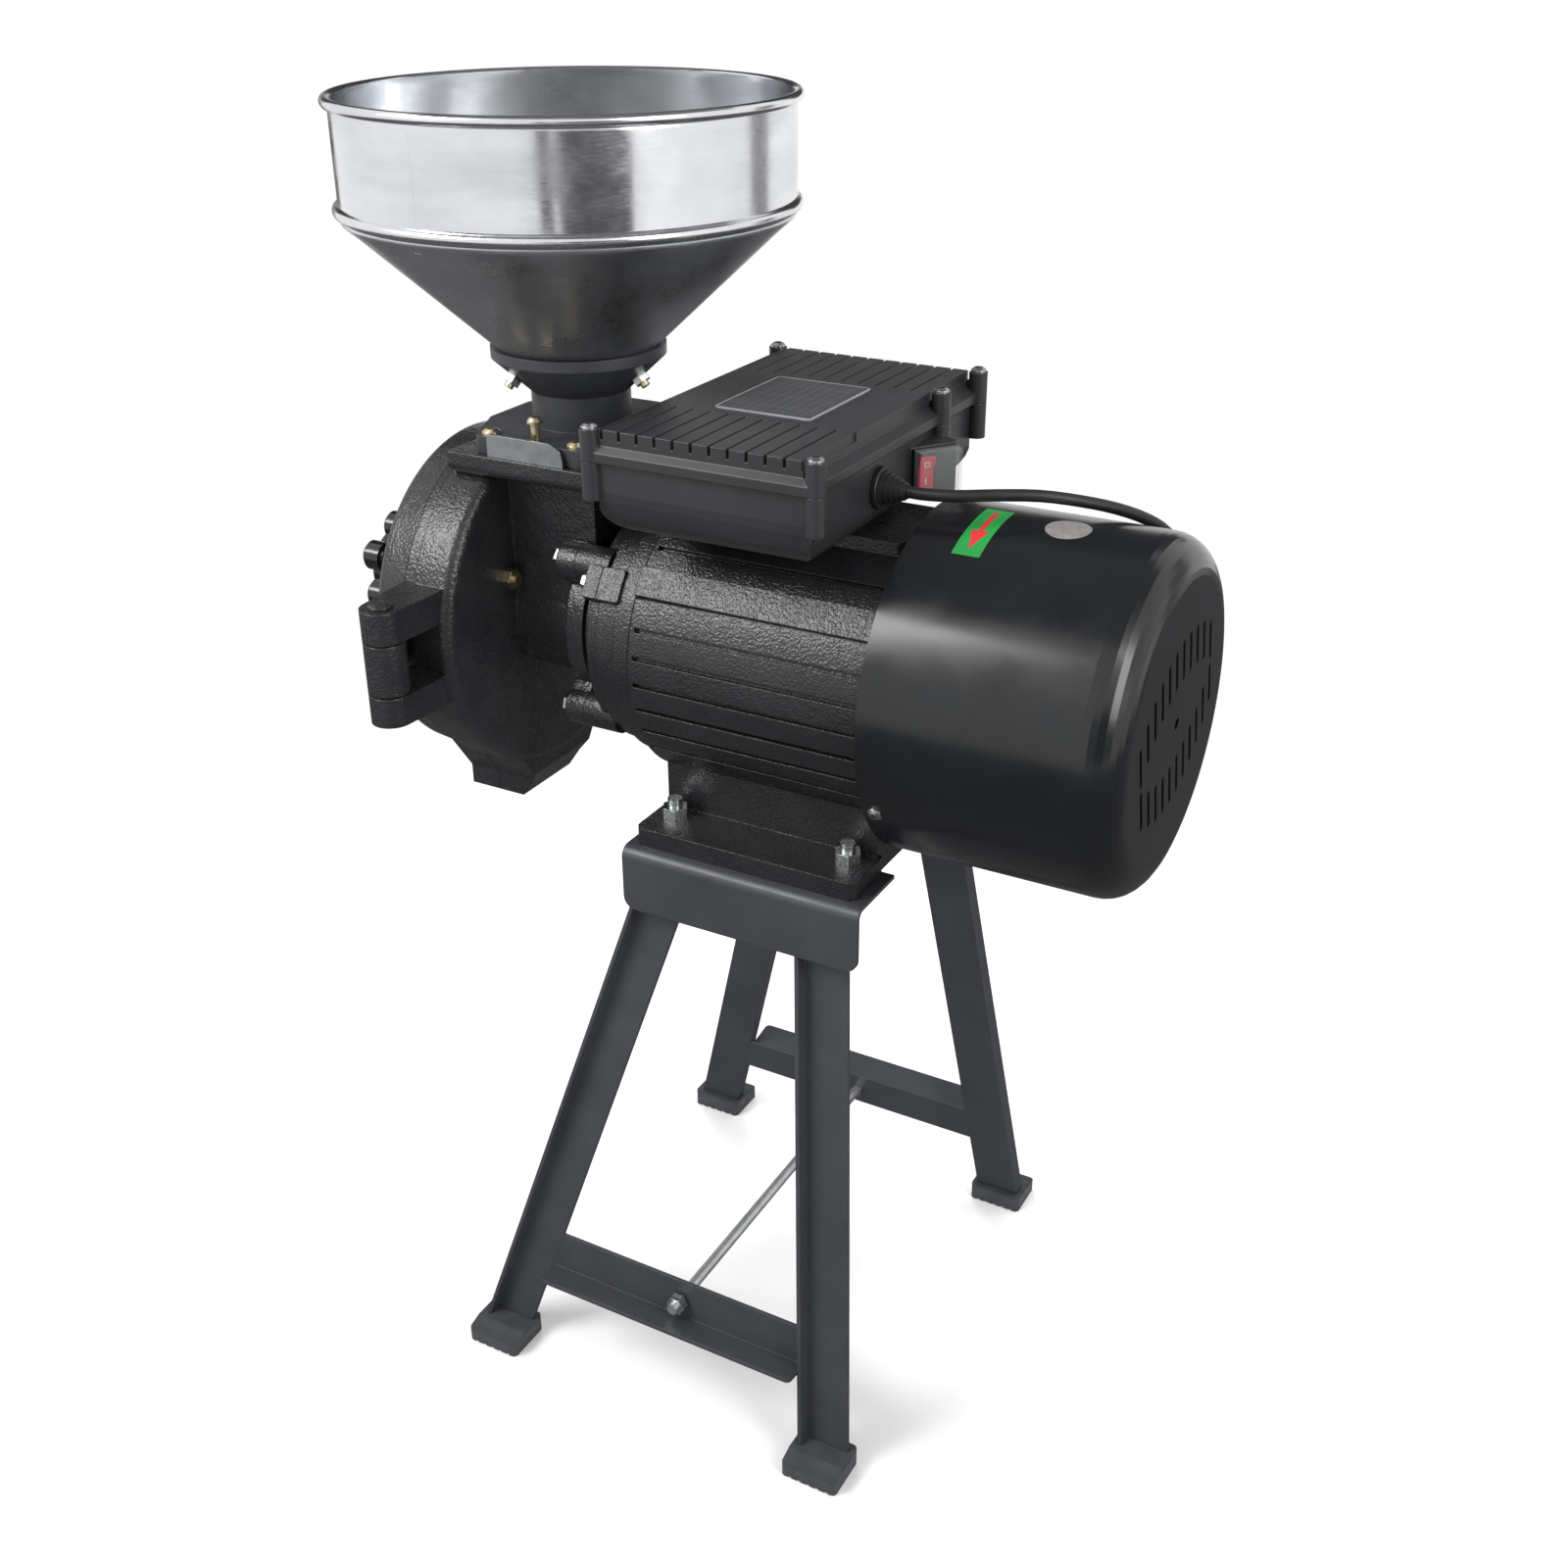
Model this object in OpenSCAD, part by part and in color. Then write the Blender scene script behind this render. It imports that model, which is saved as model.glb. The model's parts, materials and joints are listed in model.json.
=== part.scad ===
// Electric grain mill: a plate mill driven straight by a motor, on a folded steel stand.
// X runs along the shaft towards the fan cover, Z is up, the floor is at z = 0.
// Inside the modules, x is measured from the hopper's axis and z from the shaft's axis.

/* [Shaft line] */
// Height of the shaft above the floor
shaft_h = 549; // [500:1:650]
// Diameter of the shaft inside the rotor
shaft_core_d = 34; // [30:1:38]
// Diameter of the shaft at the front bearing
shaft_front_d = 25; // [22:1:28]
// Diameter of the shaft at the rear bearing and the fan
shaft_rear_d = 20; // [17:1:22]

/* [Hopper] */
// Outer diameter of the hopper's upright band
hopper_d = 292; // [270:2:330]
// Height of the upright band above the bead
hopper_band_h = 64.5; // [50:0.5:90]
// Height of the cone
hopper_cone_h = 106.5; // [95:0.5:125]
// Outer diameter of the hopper's outlet
hopper_out_d = 60; // [56:1:62]
// Thickness of the hopper's sheet
hopper_sheet = 1.2; // [1:0.1:2]
// Radius of the rolled rim
hopper_roll_r = 3.5; // [3:0.25:5]
// Radius of the bead round the band
hopper_bead_r = 4; // [3:0.25:5]

/* [Inlet plate] */
// Thickness of the inlet plate
plate_t = 12; // [10:0.5:16]
// Half width of the plate along the shaft
plate_half_x = 61; // [58:1:62]
// Half depth of the plate across the shaft
plate_half_y = 64; // [60:1:68]
// Height of the plate's underside above the shaft
plate_z = 121; // [120:0.5:130]
// Outer diameter of the throat
throat_d = 67; // [64:1:72]
// Bore of the throat
throat_bore = 56; // [50:1:58]
// Outer diameter of the collar that holds the hopper
collar_d = 117; // [112:1:126]
// Height of the throat's straight part
throat_h = 23; // [18:1:30]

/* [Gate] */
// Width of the gate slide
gate_w = 60; // [58:1:64]
// Thickness of the gate slide
gate_t = 1.8; // [1.5:0.1:2]
// Height of the gate's upturned tab
gate_tab_h = 15; // [13:1:18]

/* [Mill head] */
// Outer radius of the grinding chamber's ring
head_r = 120; // [118:0.5:122]
// Inner radius of the grinding chamber
chamber_r = 106; // [102:1:108]
// Position of the joint between cover and housing
seam_x = -73; // [-74:0.5:-72]
// Position of the housing's rear face
head_rear_x = -32; // [-34:0.5:-30]
// Depth of the front cover's rim
cover_depth = 26; // [24:1:32]
// Thickness of the cast walls
cast_wall = 8; // [7:0.5:10]
// Outer radius of the feed hub
hub_r = 48; // [46:1:52]
// Bore of the feed hub round the auger
feed_bore = 60; // [56:1:62]
// Position of the flange's face against the motor
flange_x = 33; // [31:1:36]
// Radius of the bolt circle between mill and motor
flange_bolt_r = 75; // [72:1:78]
// Half width of the spout across the shaft
spout_half_y = 30; // [26:1:36]
// Distance of the spout's mouth below the shaft
spout_drop = 153; // [148:1:165]

/* [Grinding discs] */
// Radius of the grinding discs
disc_r = 94; // [88:1:98]
// Thickness of each grinding disc
disc_t = 11; // [9:0.5:12]
// Gap between the two discs
disc_gap = 1.5; // [1:0.1:3]
// Number of ribs on each disc
disc_ribs = 12; // [8:1:16]

/* [Cover hinge and screws] */
// Distance of the hinge pin from the shaft
hinge_y = 160; // [156:1:168]
// Position of the hinge pin along the shaft
hinge_x = -54; // [-58:1:-50]
// Diameter of the hinge pin
hinge_pin_d = 10; // [8:1:12]
// Outer radius of the hinge's eyes
hinge_eye_r = 14; // [13:0.5:16]
// Diameter of the adjusting screw
adjust_d = 16; // [14:1:18]
// Outer radius of the star knob
knob_r = 41; // [36:1:44]
// Length of the star knob
knob_l = 18; // [16:1:22]
// Diameter of the cover's clamp screw
clamp_d = 10; // [8:1:12]

/* [Motor] */
// Outer radius of the motor's frame
motor_r = 97; // [95:0.5:99]
// Inner radius of the motor's frame
motor_bore_r = 84; // [82:0.5:85]
// End of the motor's frame
motor_x1 = 285; // [280:1:290]
// Inner radius of the stator core
stator_bore_r = 55; // [50:0.5:60]
// Length of the stator core
stator_l = 115; // [100:1:125]
// Air gap between rotor and stator
air_gap = 0.5; // [0.4:0.1:1]
// Outer radius of the fan cover
fan_cover_r = 115; // [112:1:118]
// End of the fan cover
fan_cover_x1 = 428; // [410:1:440]
// Thickness of the fan cover's sheet
fan_cover_t = 1.5; // [1.2:0.1:2]
// Radius of the fan cover's rounded end
fan_cover_round = 23.5; // [18:0.5:26]
// Radius of the cooling fan
fan_r = 96; // [88:1:100]

/* [Motor feet] */
// Distance between the foot bolts along the shaft
foot_pitch_x = 132; // [124:1:140]
// Distance between the foot bolts across the shaft
foot_pitch_y = 141; // [136:1:146]
// Distance of the feet's underside below the shaft
foot_drop = 124; // [120:1:130]
// Thickness of the foot pads
foot_t = 13; // [10:0.5:16]
// Diameter of the foot bolts
foot_bolt_d = 10; // [8:1:12]

/* [Control box] */
// Length of the control box across the shaft
box_l = 234; // [220:1:250]
// Width of the control box along the shaft
box_w = 146; // [140:1:150]
// Height of the box body
box_h = 49; // [46:1:60]
// Height of the lid
lid_h = 20; // [17:1:24]
// Wall of box and lid
box_wall = 3; // [2.5:0.1:4]
// Number of grooves at each end of the lid
lid_grooves = 12; // [8:1:14]
// Radius of the screw posts
post_r = 6.2; // [5.6:0.1:7]
// Width and height of the switch frame
switch_w = 30; // [28:0.5:32]

/* [Stand] */
// Thickness of the stand's sheet
stand_t = 3; // [2.5:0.1:4]
// Depth of each top plate across the shaft
top_plate_d = 54; // [50:1:56]
// Height of the apron below the top plate
apron_h = 47; // [42:1:56]
// Width of the legs
leg_w = 35; // [30:1:40]
// Depth of the legs' folded edge
leg_fold = 13; // [10:1:20]
// Height of the crossbars' web
bar_h = 31; // [25:1:36]
// Depth of the crossbars' folded edge
bar_fold = 25; // [20:1:30]
// Height of the crossbars' top edge above the floor
bar_z = 97; // [80:1:150]
// Diameter of the tie rod
tie_rod_d = 8; // [8:1:10]

/* [Cord] */
// Diameter of the mains cord
cord_d = 7.6; // [7:0.1:8.4]

/* [Hidden] */
$fn = 96;
// Overrun of every cut
cut = 1;
// Clearances: bodies that part, running fits, sliding fits, seated pieces, loose holes
body_gap = 0.3;
run_fit = 0.05;
slide_fit = 0.15;
seat_gap = 0.2;
hole_gap = 0.5;
// Small step between neighbouring edges
edge_step = 3;
// Screw sizes
screw_d = 6;
head_d = 12.5;
head_h = 4;
screw_l = 24;
small_screw_d = 5;
small_head_d = 10;
small_head_h = 3;
small_screw_l = 12;
head_top_share = 0.6;

// Stand places
top_plate_x0 = 87;
top_plate_x1 = 266;
top_plate_y1 = 106;
bend_r = 8;
apron_corner_r = 9;
apron_z = -foot_drop - apron_h;
leg_top_y = 92.5;
leg_foot_y = 161;
leg_left_top_x = 90;
leg_left_foot_x = -20;
leg_right_top_x = 218;
leg_right_foot_x = 257.5;
foot_sole = 4;
foot_y0 = 150.5;
foot_y1 = 187.5;
foot_toe_h = 10;
foot_top_h = 14;
foot_slope_y = 174;
foot_w = 43.5;
foot_left = 2.5;
foot_right = 5;
foot_corner_r = 4;
foot_grooves = 5;
groove_r = 1.6;
leg_end_z = -shaft_h + foot_sole;
leg_drop = apron_z - leg_end_z;
lean = atan((leg_foot_y - leg_top_y) / leg_drop);
leg_len = leg_drop / cos(lean);
leg_rise = (apron_h - stand_t - body_gap) / cos(lean) - leg_fold * tan(lean);
bar_v = (apron_z + shaft_h - bar_z) / cos(lean);
bar_end_r = 4;
rod_x = 147;
rod_z = -shaft_h + bar_z - bar_h / 2;
rod_y = leg_top_y + (apron_z - rod_z) * tan(lean);
rod_out = 12;
rod_nut_af = 13;
rod_nut_h = 6.5;

// Motor places
motor_x0 = 59.5;
foot_shift_x = 2.5;
motor_mid_x = (motor_x0 + motor_x1) / 2 + foot_shift_x;
foot_bolt_x = [motor_mid_x - foot_pitch_x / 2, motor_mid_x + foot_pitch_x / 2];
foot_front_l = 16;
foot_rear_l = 18;
foot_x0 = foot_bolt_x[0] - foot_front_l;
foot_x1 = foot_bolt_x[1] + foot_rear_l;
foot_in_y = 58;
foot_out_y = 97;
foot_corner = 6;
foot_nut_af = 16;
foot_nut_h = 8;
foot_bolt_out = 6;
foot_head_h = 6.5;
pedestal_wall = 12;
pedestal_top = 75;
front_ring_r = 85;
front_ring_x = 76;
front_bore_r = 74;
front_ring_wall = 4;
step_ring_r = 90;
step_ring_x = 90;
groove_w = 3;
groove_d = 3.5;
groove_x0 = 96;
groove_x1 = 263;
groove_angles = [52, 18.4, 7.4, -3.6, -14.6, -25.6, -36.6];
band_angle = 37;
band_w = 20;
band_h = 3.5;
band_base_r = 90;
lug_angles = [34, 146, 270];
lug_w = 22;
lug_r = 92;
lug_h = 16;
lug_bolt_r = 85;
lug_bolt_d = 6;
lug_bolt_af = 10;
pad_top_z = 98.6;
pad_half_y = 37;
pad_x0 = 100;
wire_hole_d = 20;
wire_hole_x = 165;
shield_r = 81;
shield_x0 = flange_x + edge_step;
shield_ring_x = 50;
shield_lug_x = 48.5;
shield_front_r = 62;
spigot_l = 8;
spigot_wall = 6;
ear_r = 13;
ear_neck = 11;
ear_angles = [45, 135, 225, 315];
bearing_front_od = 52;
bearing_front_w = 15;
bearing_front_x = 40;
bearing_rear_od = 47;
bearing_rear_w = 14;
bearing_rear_x = 287;
bearing_lip = 4;
rear_shield_x1 = 305;
rear_shield_wall = 8;
rear_hub_r = 34;
cover_x0 = 266;
cover_screw_angles = [80, 207, 333];
cover_screw_x = 275;
cover_boss_w = 22;
cover_boss_r0 = 94;
slot_count = 11;
slot_pitch = 13;
slot_w = 4;
slot_l = 30;
slot_offset = 40;
slot_arc_r = 103;
slot_tilt = 16;
centre_hole_d = 8;
fan_x0 = 316;
fan_w = 30;
fan_plate_t = 3;
fan_hub_r = 22;
fan_hub_w = 28;
fan_blades = 8;
fan_blade_t = 3;
shaft_front_x = -66;
shaft_nose_d = 20;
shaft_nose_x = -42;
shaft_auger_d = 24;
shaft_step_x = [36, 56, 284];
shaft_rear_x = 350;
stator_x0 = motor_mid_x - stator_l / 2;
winding_l = 18;
winding_r0 = 59;
winding_r1 = 78;
winding_gap = 0.5;
core_slots = 24;
core_slot_w = 5;
core_slot_d = 16;
flange_bolt_d = 8;
flange_bolt_af = 13;
flange_bolt_h = 6;
flange_bolt_l = 38;

// Mill head places
head_band_r = head_r + edge_step;
head_band_l = 10;
head_band_x = seam_x + head_band_l;
head_round = 8;
back_in_x = -44;
hub_x1 = 18;
hub_floor_x = 20;
flange_step = 1.5;
flange_r = 62;
duct_half_y = 45;
duct_x0 = -36;
duct_x1 = 37;
duct_step_z = 65;
duct_in_x = 28;
duct_in_y = 27;
duct_low_x1 = 17;
duct_floor_z = 20;
ledge_half_y = 70;
ledge_half_x = 62;
ledge_t = 15;
ledge_round = 7;
spout_x0 = seam_x - cover_depth;
spout_x1 = -52;
spout_top_x1 = -36;
spout_top_z = -100;
spout_wall = 5;
spout_neck_z = -138;
spout_flare = 26;
disc_bolt_r = 63;
disc_bolt_angles = [150, 330];
disc_bolt_d = 8;
disc_bolt_head_d = 16;
disc_bolt_head_h = 4;
disc_nut_af = 13;
disc_nut_h = 6.5;
disc_bolt_out = 4;
disc_eye_r = 34;
disc_hub_r = 24;
disc_cap_t = 6;
rib_w = 4;
rib_h = 2;
rib_r0 = 38;
rib_r1 = 90;
rib_offset = 15;
fixed_disc_x = back_in_x - disc_t;
moving_disc_x = fixed_disc_x - disc_gap - disc_t;
hub_cap_x = moving_disc_x - disc_cap_t;
seal_od = 44;
seal_x = 24;
auger_x0 = back_in_x + edge_step;
auger_x1 = 16;
auger_r = feed_bore / 2 - 2;
auger_core_r = 16;
auger_paddles = 7;
auger_paddle_t = 6;
auger_step_deg = 55;
front_round = 6;
boss_r = 26;
boss_tip_r = 23;
boss_x = -148;
adjust_tip_x = hub_cap_x - body_gap;
adjust_head_x = -176;
lock_nut_af = 24;
lock_nut_h = 8;
knob_x1 = -162;
knob_lobes = 6;
lobe_r = 11;
knob_core_r = 28;
knob_edge = 2.5;
eye_top_z = [20, 42];
eye_mid_z = [-16.5, 19];
eye_low_z = [-38, -17.5];
pin_head_d = 16;
pin_head_h = 3;
pin_end = 2;
arm_x0 = -71;
arm_x1 = -38;
arm_in_y = 108;
arm_out_y = 128;
cover_arm_y = 127;
clamp_y = 136;
clamp_lug_r = 14;
clamp_lug_in_y = 112;
clamp_depth = 16;
clamp_engage = 13;
clamp_hole_gap = 1.4;
clamp_grip_l = 20;
clamp_grip_d = 24;

// Hopper and plate places
cone_end_rise = 42.5;
cone_end_z = plate_z + cone_end_rise;
cone_top_z = cone_end_z + hopper_cone_h;
bead_rise = 6;
bead_z = cone_top_z + bead_rise;
rim_z = bead_z + hopper_band_h;
cone_run = (hopper_d - hopper_out_d) / 2 / hopper_cone_h;
cone_slant = sqrt(1 + cone_run * cone_run);
cone_sheet = hopper_sheet * cone_slant;
cone_gap = 0.4;
collar_rim_h = 7;
neck_z = plate_z + plate_t + throat_h;
collar_z = neck_z + (collar_d - throat_d) / 2 / cone_run;
collar_top_z = collar_z + collar_rim_h;
funnel_r0 = hopper_out_d / 2 + cone_gap * cone_slant;
funnel_z0 = cone_end_z - (funnel_r0 - throat_bore / 2) / cone_run;
hopper_bolt_r = 47;
hopper_bolt_z = neck_z + (hopper_bolt_r - throat_d / 2) / cone_run;
hopper_bolt_angles = [0, 120, 240];
bolt_tilt = atan(1 / cone_run);
collar_wall = ((hopper_bolt_r - funnel_r0) - (hopper_bolt_z - cone_end_z) * cone_run) / cone_slant;
hopper_nut_af = 10;
hopper_nut_h = 5;
hopper_bolt_out = 8;
plate_screw_x = 34;
plate_screw_y = 57;
plate_side_y = 22;
plate_corner_x = 42;
plate_corner_r = 5;
gate_in_l = 6;
gate_y1 = throat_bore / 2 + gate_in_l;
gate_tab_y = 68;
gate_tab_r = [12, 4];
gate_screw_x = 2;
gate_screw_out = 12;
gate_head_h = 4;

// Control box places
box_x0 = 90;
box_seat_gap = 0.4;
box_z = pad_top_z + box_seat_gap;
box_x1 = box_x0 + box_w;
box_top_z = box_z + box_h;
box_round_y = 30;
box_round_x = 20;
box_corner_r = 4;
lid_lip = 4;
lid_lip_h = 6;
lid_slope_h = 10;
lid_in = 3.5;
lid_groove_w = 2;
lid_groove_d = 6;
lid_groove_in = 66;
lid_groove_x0 = 5.4;
lid_groove_x1 = 142.5;
post_out = 3;
post_h = 24;
post_shares = [[0, -1], [1, -0.98], [1, 0.49], [1, 1], [0, 1]];
name_w = 68;
name_l = 84;
name_t = 0.8;
switch_turn = 37;
switch_at = [246, 32, 125];
switch_wedge = [[-5, 18.5], [-25, 13.5]];
switch_t = 3;
switch_lip = 2.2;
switch_depth = 14;
rocker_y0 = -11.5;
rocker_w = 11;
rocker_hole_h = 24;
rocker_tilt = 7;
rocker_pivot = 4;
rocker_points = [[-4, -5], [4, -10.4], [7.4, -10.8], [6, 0], [7.4, 10.8], [4, 10.4], [-4, 5]];
switch_hood_h = 8;
switch_hood_t = 1.2;
gland_y = -26;
gland_z = 128;
gland_base_d = 27;
gland_base_l = 4;
gland_l = 20;
gland_tip_d = 12;
cap_start_d = 46;
cap_start_l = 92;
cap_start_at = [118, -94, 127];
cap_run_d = 40;
cap_run_l = 78;
cap_run_at = [115, 12, 124];
terminal_size = [30, 62, 20];
terminal_at = [178, -48];
terminal_base_h = 8;
terminal_poles = 4;

// Overall places: the origin lies midway between the knob's end and the fan cover's end
x_min = knob_x1 - knob_l;
origin_x = -(x_min + fan_cover_x1) / 2;

// Cord: hand-chosen route from the gland over the fan cover to the hank on the rear feet
CORD_ROUTE = [[256, -26, 128], [266, -26, 128], [286, -23, 129], [308, -13, 130], [330, 1, 129], [350, 18, 124],
  [367, 38, 116], [380, 58, 105.5], [388, 78, 92], [392, 96, 73], [391, 109, 51], [386, 117.5, 28],
  [377, 121.5, 2], [364, 123.5, -24], [347, 123, -49], [327, 120, -71], [306, 116, -87], [286, 112, -98],
  [266, 109, -103.7], [250, 108, -104.7], [236, 108, -104.7]];
cord_sides = 10;
// Hank: long loops one above another on the motor's rear feet, drawn in at the waist by the tie
hank_x0 = 118.5;
hank_x1 = 231;
hank_y = 85.2;
hank_z = -104.7;
hank_turn_r = 22.8;
hank_loops = 3;
hank_pitch = 8.1;
hank_dip = 6;
hank_steps = 6;
hank_sides = 6;
hank_xa = hank_x0 + cord_d / 2 + hank_turn_r;
hank_xb = hank_x1 - cord_d / 2 - hank_turn_r;
tie_x = 168;
tie_w = 14;
tie_t = 2;
tie_ease = 0.9;
tie_rise = 0.25;
plug_l = 48;
plug_d = 34;
plug_x0 = hank_xb - cord_d - plug_l;
plug_y = hank_y + hank_turn_r;
plug_z = hank_z + (hank_loops - 1) * hank_pitch + cord_d / 2 + plug_d / 2 + body_gap;
plug_pin_d = 4.8;
plug_pin_l = 19;
plug_pin_gap = 19;

// Helpers
module place() translate([origin_x, 0, shaft_h]) children();
module along_x(x, l, d) translate([x, 0, 0]) rotate([0, 90, 0]) cylinder(h = l, d = d);
module turned_x(points) rotate([0, 90, 0]) rotate_extrude() polygon([for (p = points) [p[1], p[0]]]);
module ring_x(x0, x1, r0, r1) turned_x([[x0, r0], [x1, r0], [x1, r1], [x0, r1]]);
module outline_x(x0, x1) translate([x0, 0, 0]) rotate([90, 0, 90]) linear_extrude(x1 - x0) children();
module outline_y(y0, y1) translate([0, y1, 0]) rotate([90, 0, 0]) linear_extrude(y1 - y0) children();
module outline_z(z0, z1) translate([0, 0, z0]) linear_extrude(z1 - z0) children();
module hex(af, h) cylinder(h = h, d = af / cos(30), $fn = 6);
module hex_x(af, h) rotate([0, 90, 0]) hex(af, h);
module pan_head(d, h) {
  cylinder(h = h / 2, d = d);
  translate([0, 0, h / 2]) cylinder(h = h / 2, d1 = d, d2 = d * head_top_share);
}
module block(x0, x1, y0, y1, z0, z1) translate([x0, y0, z0]) cube([x1 - x0, y1 - y0, z1 - z0]);
module mirror_y() {
  children();
  mirror([0, 1, 0]) children();
}
// Points on the arc that rounds corner b between a and c
function corner(a, b, c, r, n = 8) =
  let (u = (a - b) / norm(a - b), v = (c - b) / norm(c - b), half = acos(u * v) / 2,
    m = b + (u + v) / norm(u + v) * r / sin(half), p = b + u * r / tan(half), q = b + v * r / tan(half),
    a0 = atan2(p[1] - m[1], p[0] - m[0]), a1 = atan2(q[1] - m[1], q[0] - m[0]),
    turn = a1 - a0 > 180 ? a1 - a0 - 360 : a1 - a0 < -180 ? a1 - a0 + 360 : a1 - a0)
  [for (i = [0:n]) m + r * [cos(a0 + turn * i / n), sin(a0 + turn * i / n)]];
function rounded(pts, r) = [for (i = [0:len(pts) - 1],
  p = corner(pts[(i + len(pts) - 1) % len(pts)], pts[i], pts[(i + 1) % len(pts)], r)) p];
function rect(x0, x1, y0, y1) = [[x0, y0], [x1, y0], [x1, y1], [x0, y1]];

// Stand
module top_plate() {
  y0 = -top_plate_y1 + top_plate_d;
  y1 = -top_plate_y1;
  z1 = -foot_drop;
  difference() {
    intersection() {
      outline_x(top_plate_x0, top_plate_x1) polygon(concat([[y0, z1]],
        corner([y0, z1], [y1, z1], [y1, apron_z], bend_r),
        [[y1, apron_z], [y1 + stand_t, apron_z]],
        corner([y1 + stand_t, apron_z], [y1 + stand_t, z1 - stand_t], [y0, z1 - stand_t], bend_r - stand_t),
        [[y0, z1 - stand_t]]));
      outline_y(y1 - cut, y0 + cut) polygon(concat([[top_plate_x1, z1 + cut], [top_plate_x0, z1 + cut]],
        corner([top_plate_x0, z1], [top_plate_x0, apron_z], [top_plate_x1, apron_z], apron_corner_r),
        corner([top_plate_x0, apron_z], [top_plate_x1, apron_z], [top_plate_x1, z1], apron_corner_r)));
    }
    for (x = foot_bolt_x) translate([x, -foot_pitch_y / 2, z1 - stand_t - cut])
      cylinder(h = stand_t + 2 * cut, d = foot_bolt_d + 2 * hole_gap);
  }
}
module leg_plane() translate([0, -leg_top_y, apron_z]) rotate([90 - lean, 0, 0]) children();
function leg_x(top_x, foot_x, v) = top_x + (top_x - foot_x) * v / leg_len;
function strip(top_x, foot_x, w, g = 0) =
  [for (e = [[leg_rise, 0], [leg_rise, w], [-leg_len - g, w], [-leg_len - g, 0]])
    [leg_x(top_x, foot_x, e[0]) + (e[1] > 0 ? e[1] + g : -g), e[0]]];
module leg(top_x, foot_x, fold_x, g = 0) leg_plane() {
  translate([0, 0, -stand_t - g]) linear_extrude(stand_t + 2 * g) polygon(strip(top_x, foot_x, leg_w, g));
  translate([0, 0, -stand_t - g]) linear_extrude(leg_fold + 2 * g)
    polygon(strip(top_x + fold_x, foot_x + fold_x, stand_t, g));
}
module crossbar(fold_v) difference() {
  leg_plane() {
    translate([0, 0, -stand_t]) linear_extrude(stand_t) polygon([for (e = [[0, 0], [1, 0], [1, 1], [0, 1]])
      let (v = -bar_v - e[1] * bar_h)
      [e[0] > 0 ? leg_x(leg_right_top_x, leg_right_foot_x, v)
        : leg_x(leg_left_top_x, leg_left_foot_x, v) + leg_w, v]]);
    v = -bar_v - fold_v;
    x0 = leg_x(leg_left_top_x, leg_left_foot_x, v - stand_t) + leg_w + bar_end_r;
    x1 = leg_x(leg_right_top_x, leg_right_foot_x, v);
    w1 = bar_fold - stand_t;
    translate([0, v, 0]) rotate([90, 0, 0]) linear_extrude(stand_t) polygon(concat(
      [[x0, -stand_t], [x1, -stand_t]], corner([x1, 0], [x1, w1], [x0, w1], bar_end_r),
      corner([x1, w1], [x0, w1], [x0, 0], bar_end_r)));
  }
  translate([rod_x, -rod_y + 2 * rod_out, rod_z]) rotate([90, 0, 0])
    cylinder(h = 4 * rod_out, d = tie_rod_d + 2 * hole_gap);
}
module foot(top_x, foot_x, fold_x, out) difference() {
  x0 = foot_x - out;
  z0 = -shaft_h;
  intersection() {
    outline_x(x0, x0 + foot_w) polygon([[-foot_y1, z0], [-foot_y0, z0], [-foot_y0, z0 + foot_top_h],
      [-foot_slope_y, z0 + foot_top_h], [-foot_y1, z0 + foot_toe_h]]);
    outline_z(z0 - cut, z0 + foot_top_h + cut)
      polygon(rounded(rect(x0, x0 + foot_w, -foot_y1, -foot_y0), foot_corner_r));
  }
  leg(top_x, foot_x, fold_x, seat_gap);
  for (i = [1:foot_grooves]) translate([x0 + i * foot_w / (foot_grooves + 1), -foot_y0 + cut, z0])
    rotate([90, 0, 0]) cylinder(h = foot_y1 - foot_y0 + 2 * cut, r = groove_r);
}
module front_top_plate() color("#1e1f21") place() top_plate();
module rear_top_plate() color("#1e1f21") place() mirror([0, 1, 0]) top_plate();
module front_left_leg() color("#1e1f21") place() leg(leg_left_top_x, leg_left_foot_x, 0);
module front_right_leg() color("#1e1f21") place() leg(leg_right_top_x, leg_right_foot_x, 0);
module rear_left_leg() color("#1e1f21") place() mirror([0, 1, 0])
  leg(leg_left_top_x, leg_left_foot_x, leg_w - stand_t);
module rear_right_leg() color("#1e1f21") place() mirror([0, 1, 0])
  leg(leg_right_top_x, leg_right_foot_x, leg_w - stand_t);
module front_crossbar() color("#1e1f21") place() crossbar(bar_h - stand_t);
module rear_crossbar() color("#1e1f21") place() mirror([0, 1, 0]) crossbar(0);
module rubber_feet() color("#2b2c2d") place() {
  foot(leg_left_top_x, leg_left_foot_x, 0, foot_left);
  foot(leg_right_top_x, leg_right_foot_x, 0, foot_right);
  mirror([0, 1, 0]) {
    foot(leg_left_top_x, leg_left_foot_x, leg_w - stand_t, foot_left);
    foot(leg_right_top_x, leg_right_foot_x, leg_w - stand_t, foot_right);
  }
}
module tie_rod() color("#c9c9c4") place() translate([rod_x, rod_y + rod_out, rod_z]) rotate([90, 0, 0])
  cylinder(h = 2 * (rod_y + rod_out), d = tie_rod_d);
module tie_rod_nuts() color("#c9c9c4") place() mirror_y() difference() {
  translate([rod_x, -rod_y - rod_nut_af / cos(30) / 2 * tan(lean), rod_z]) rotate([90, 0, 0])
    hex(rod_nut_af, rod_nut_h);
  translate([rod_x, 0, rod_z]) rotate([90, 0, 0])
    cylinder(h = rod_y + 2 * rod_out, d = tie_rod_d + 2 * run_fit);
}

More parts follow.
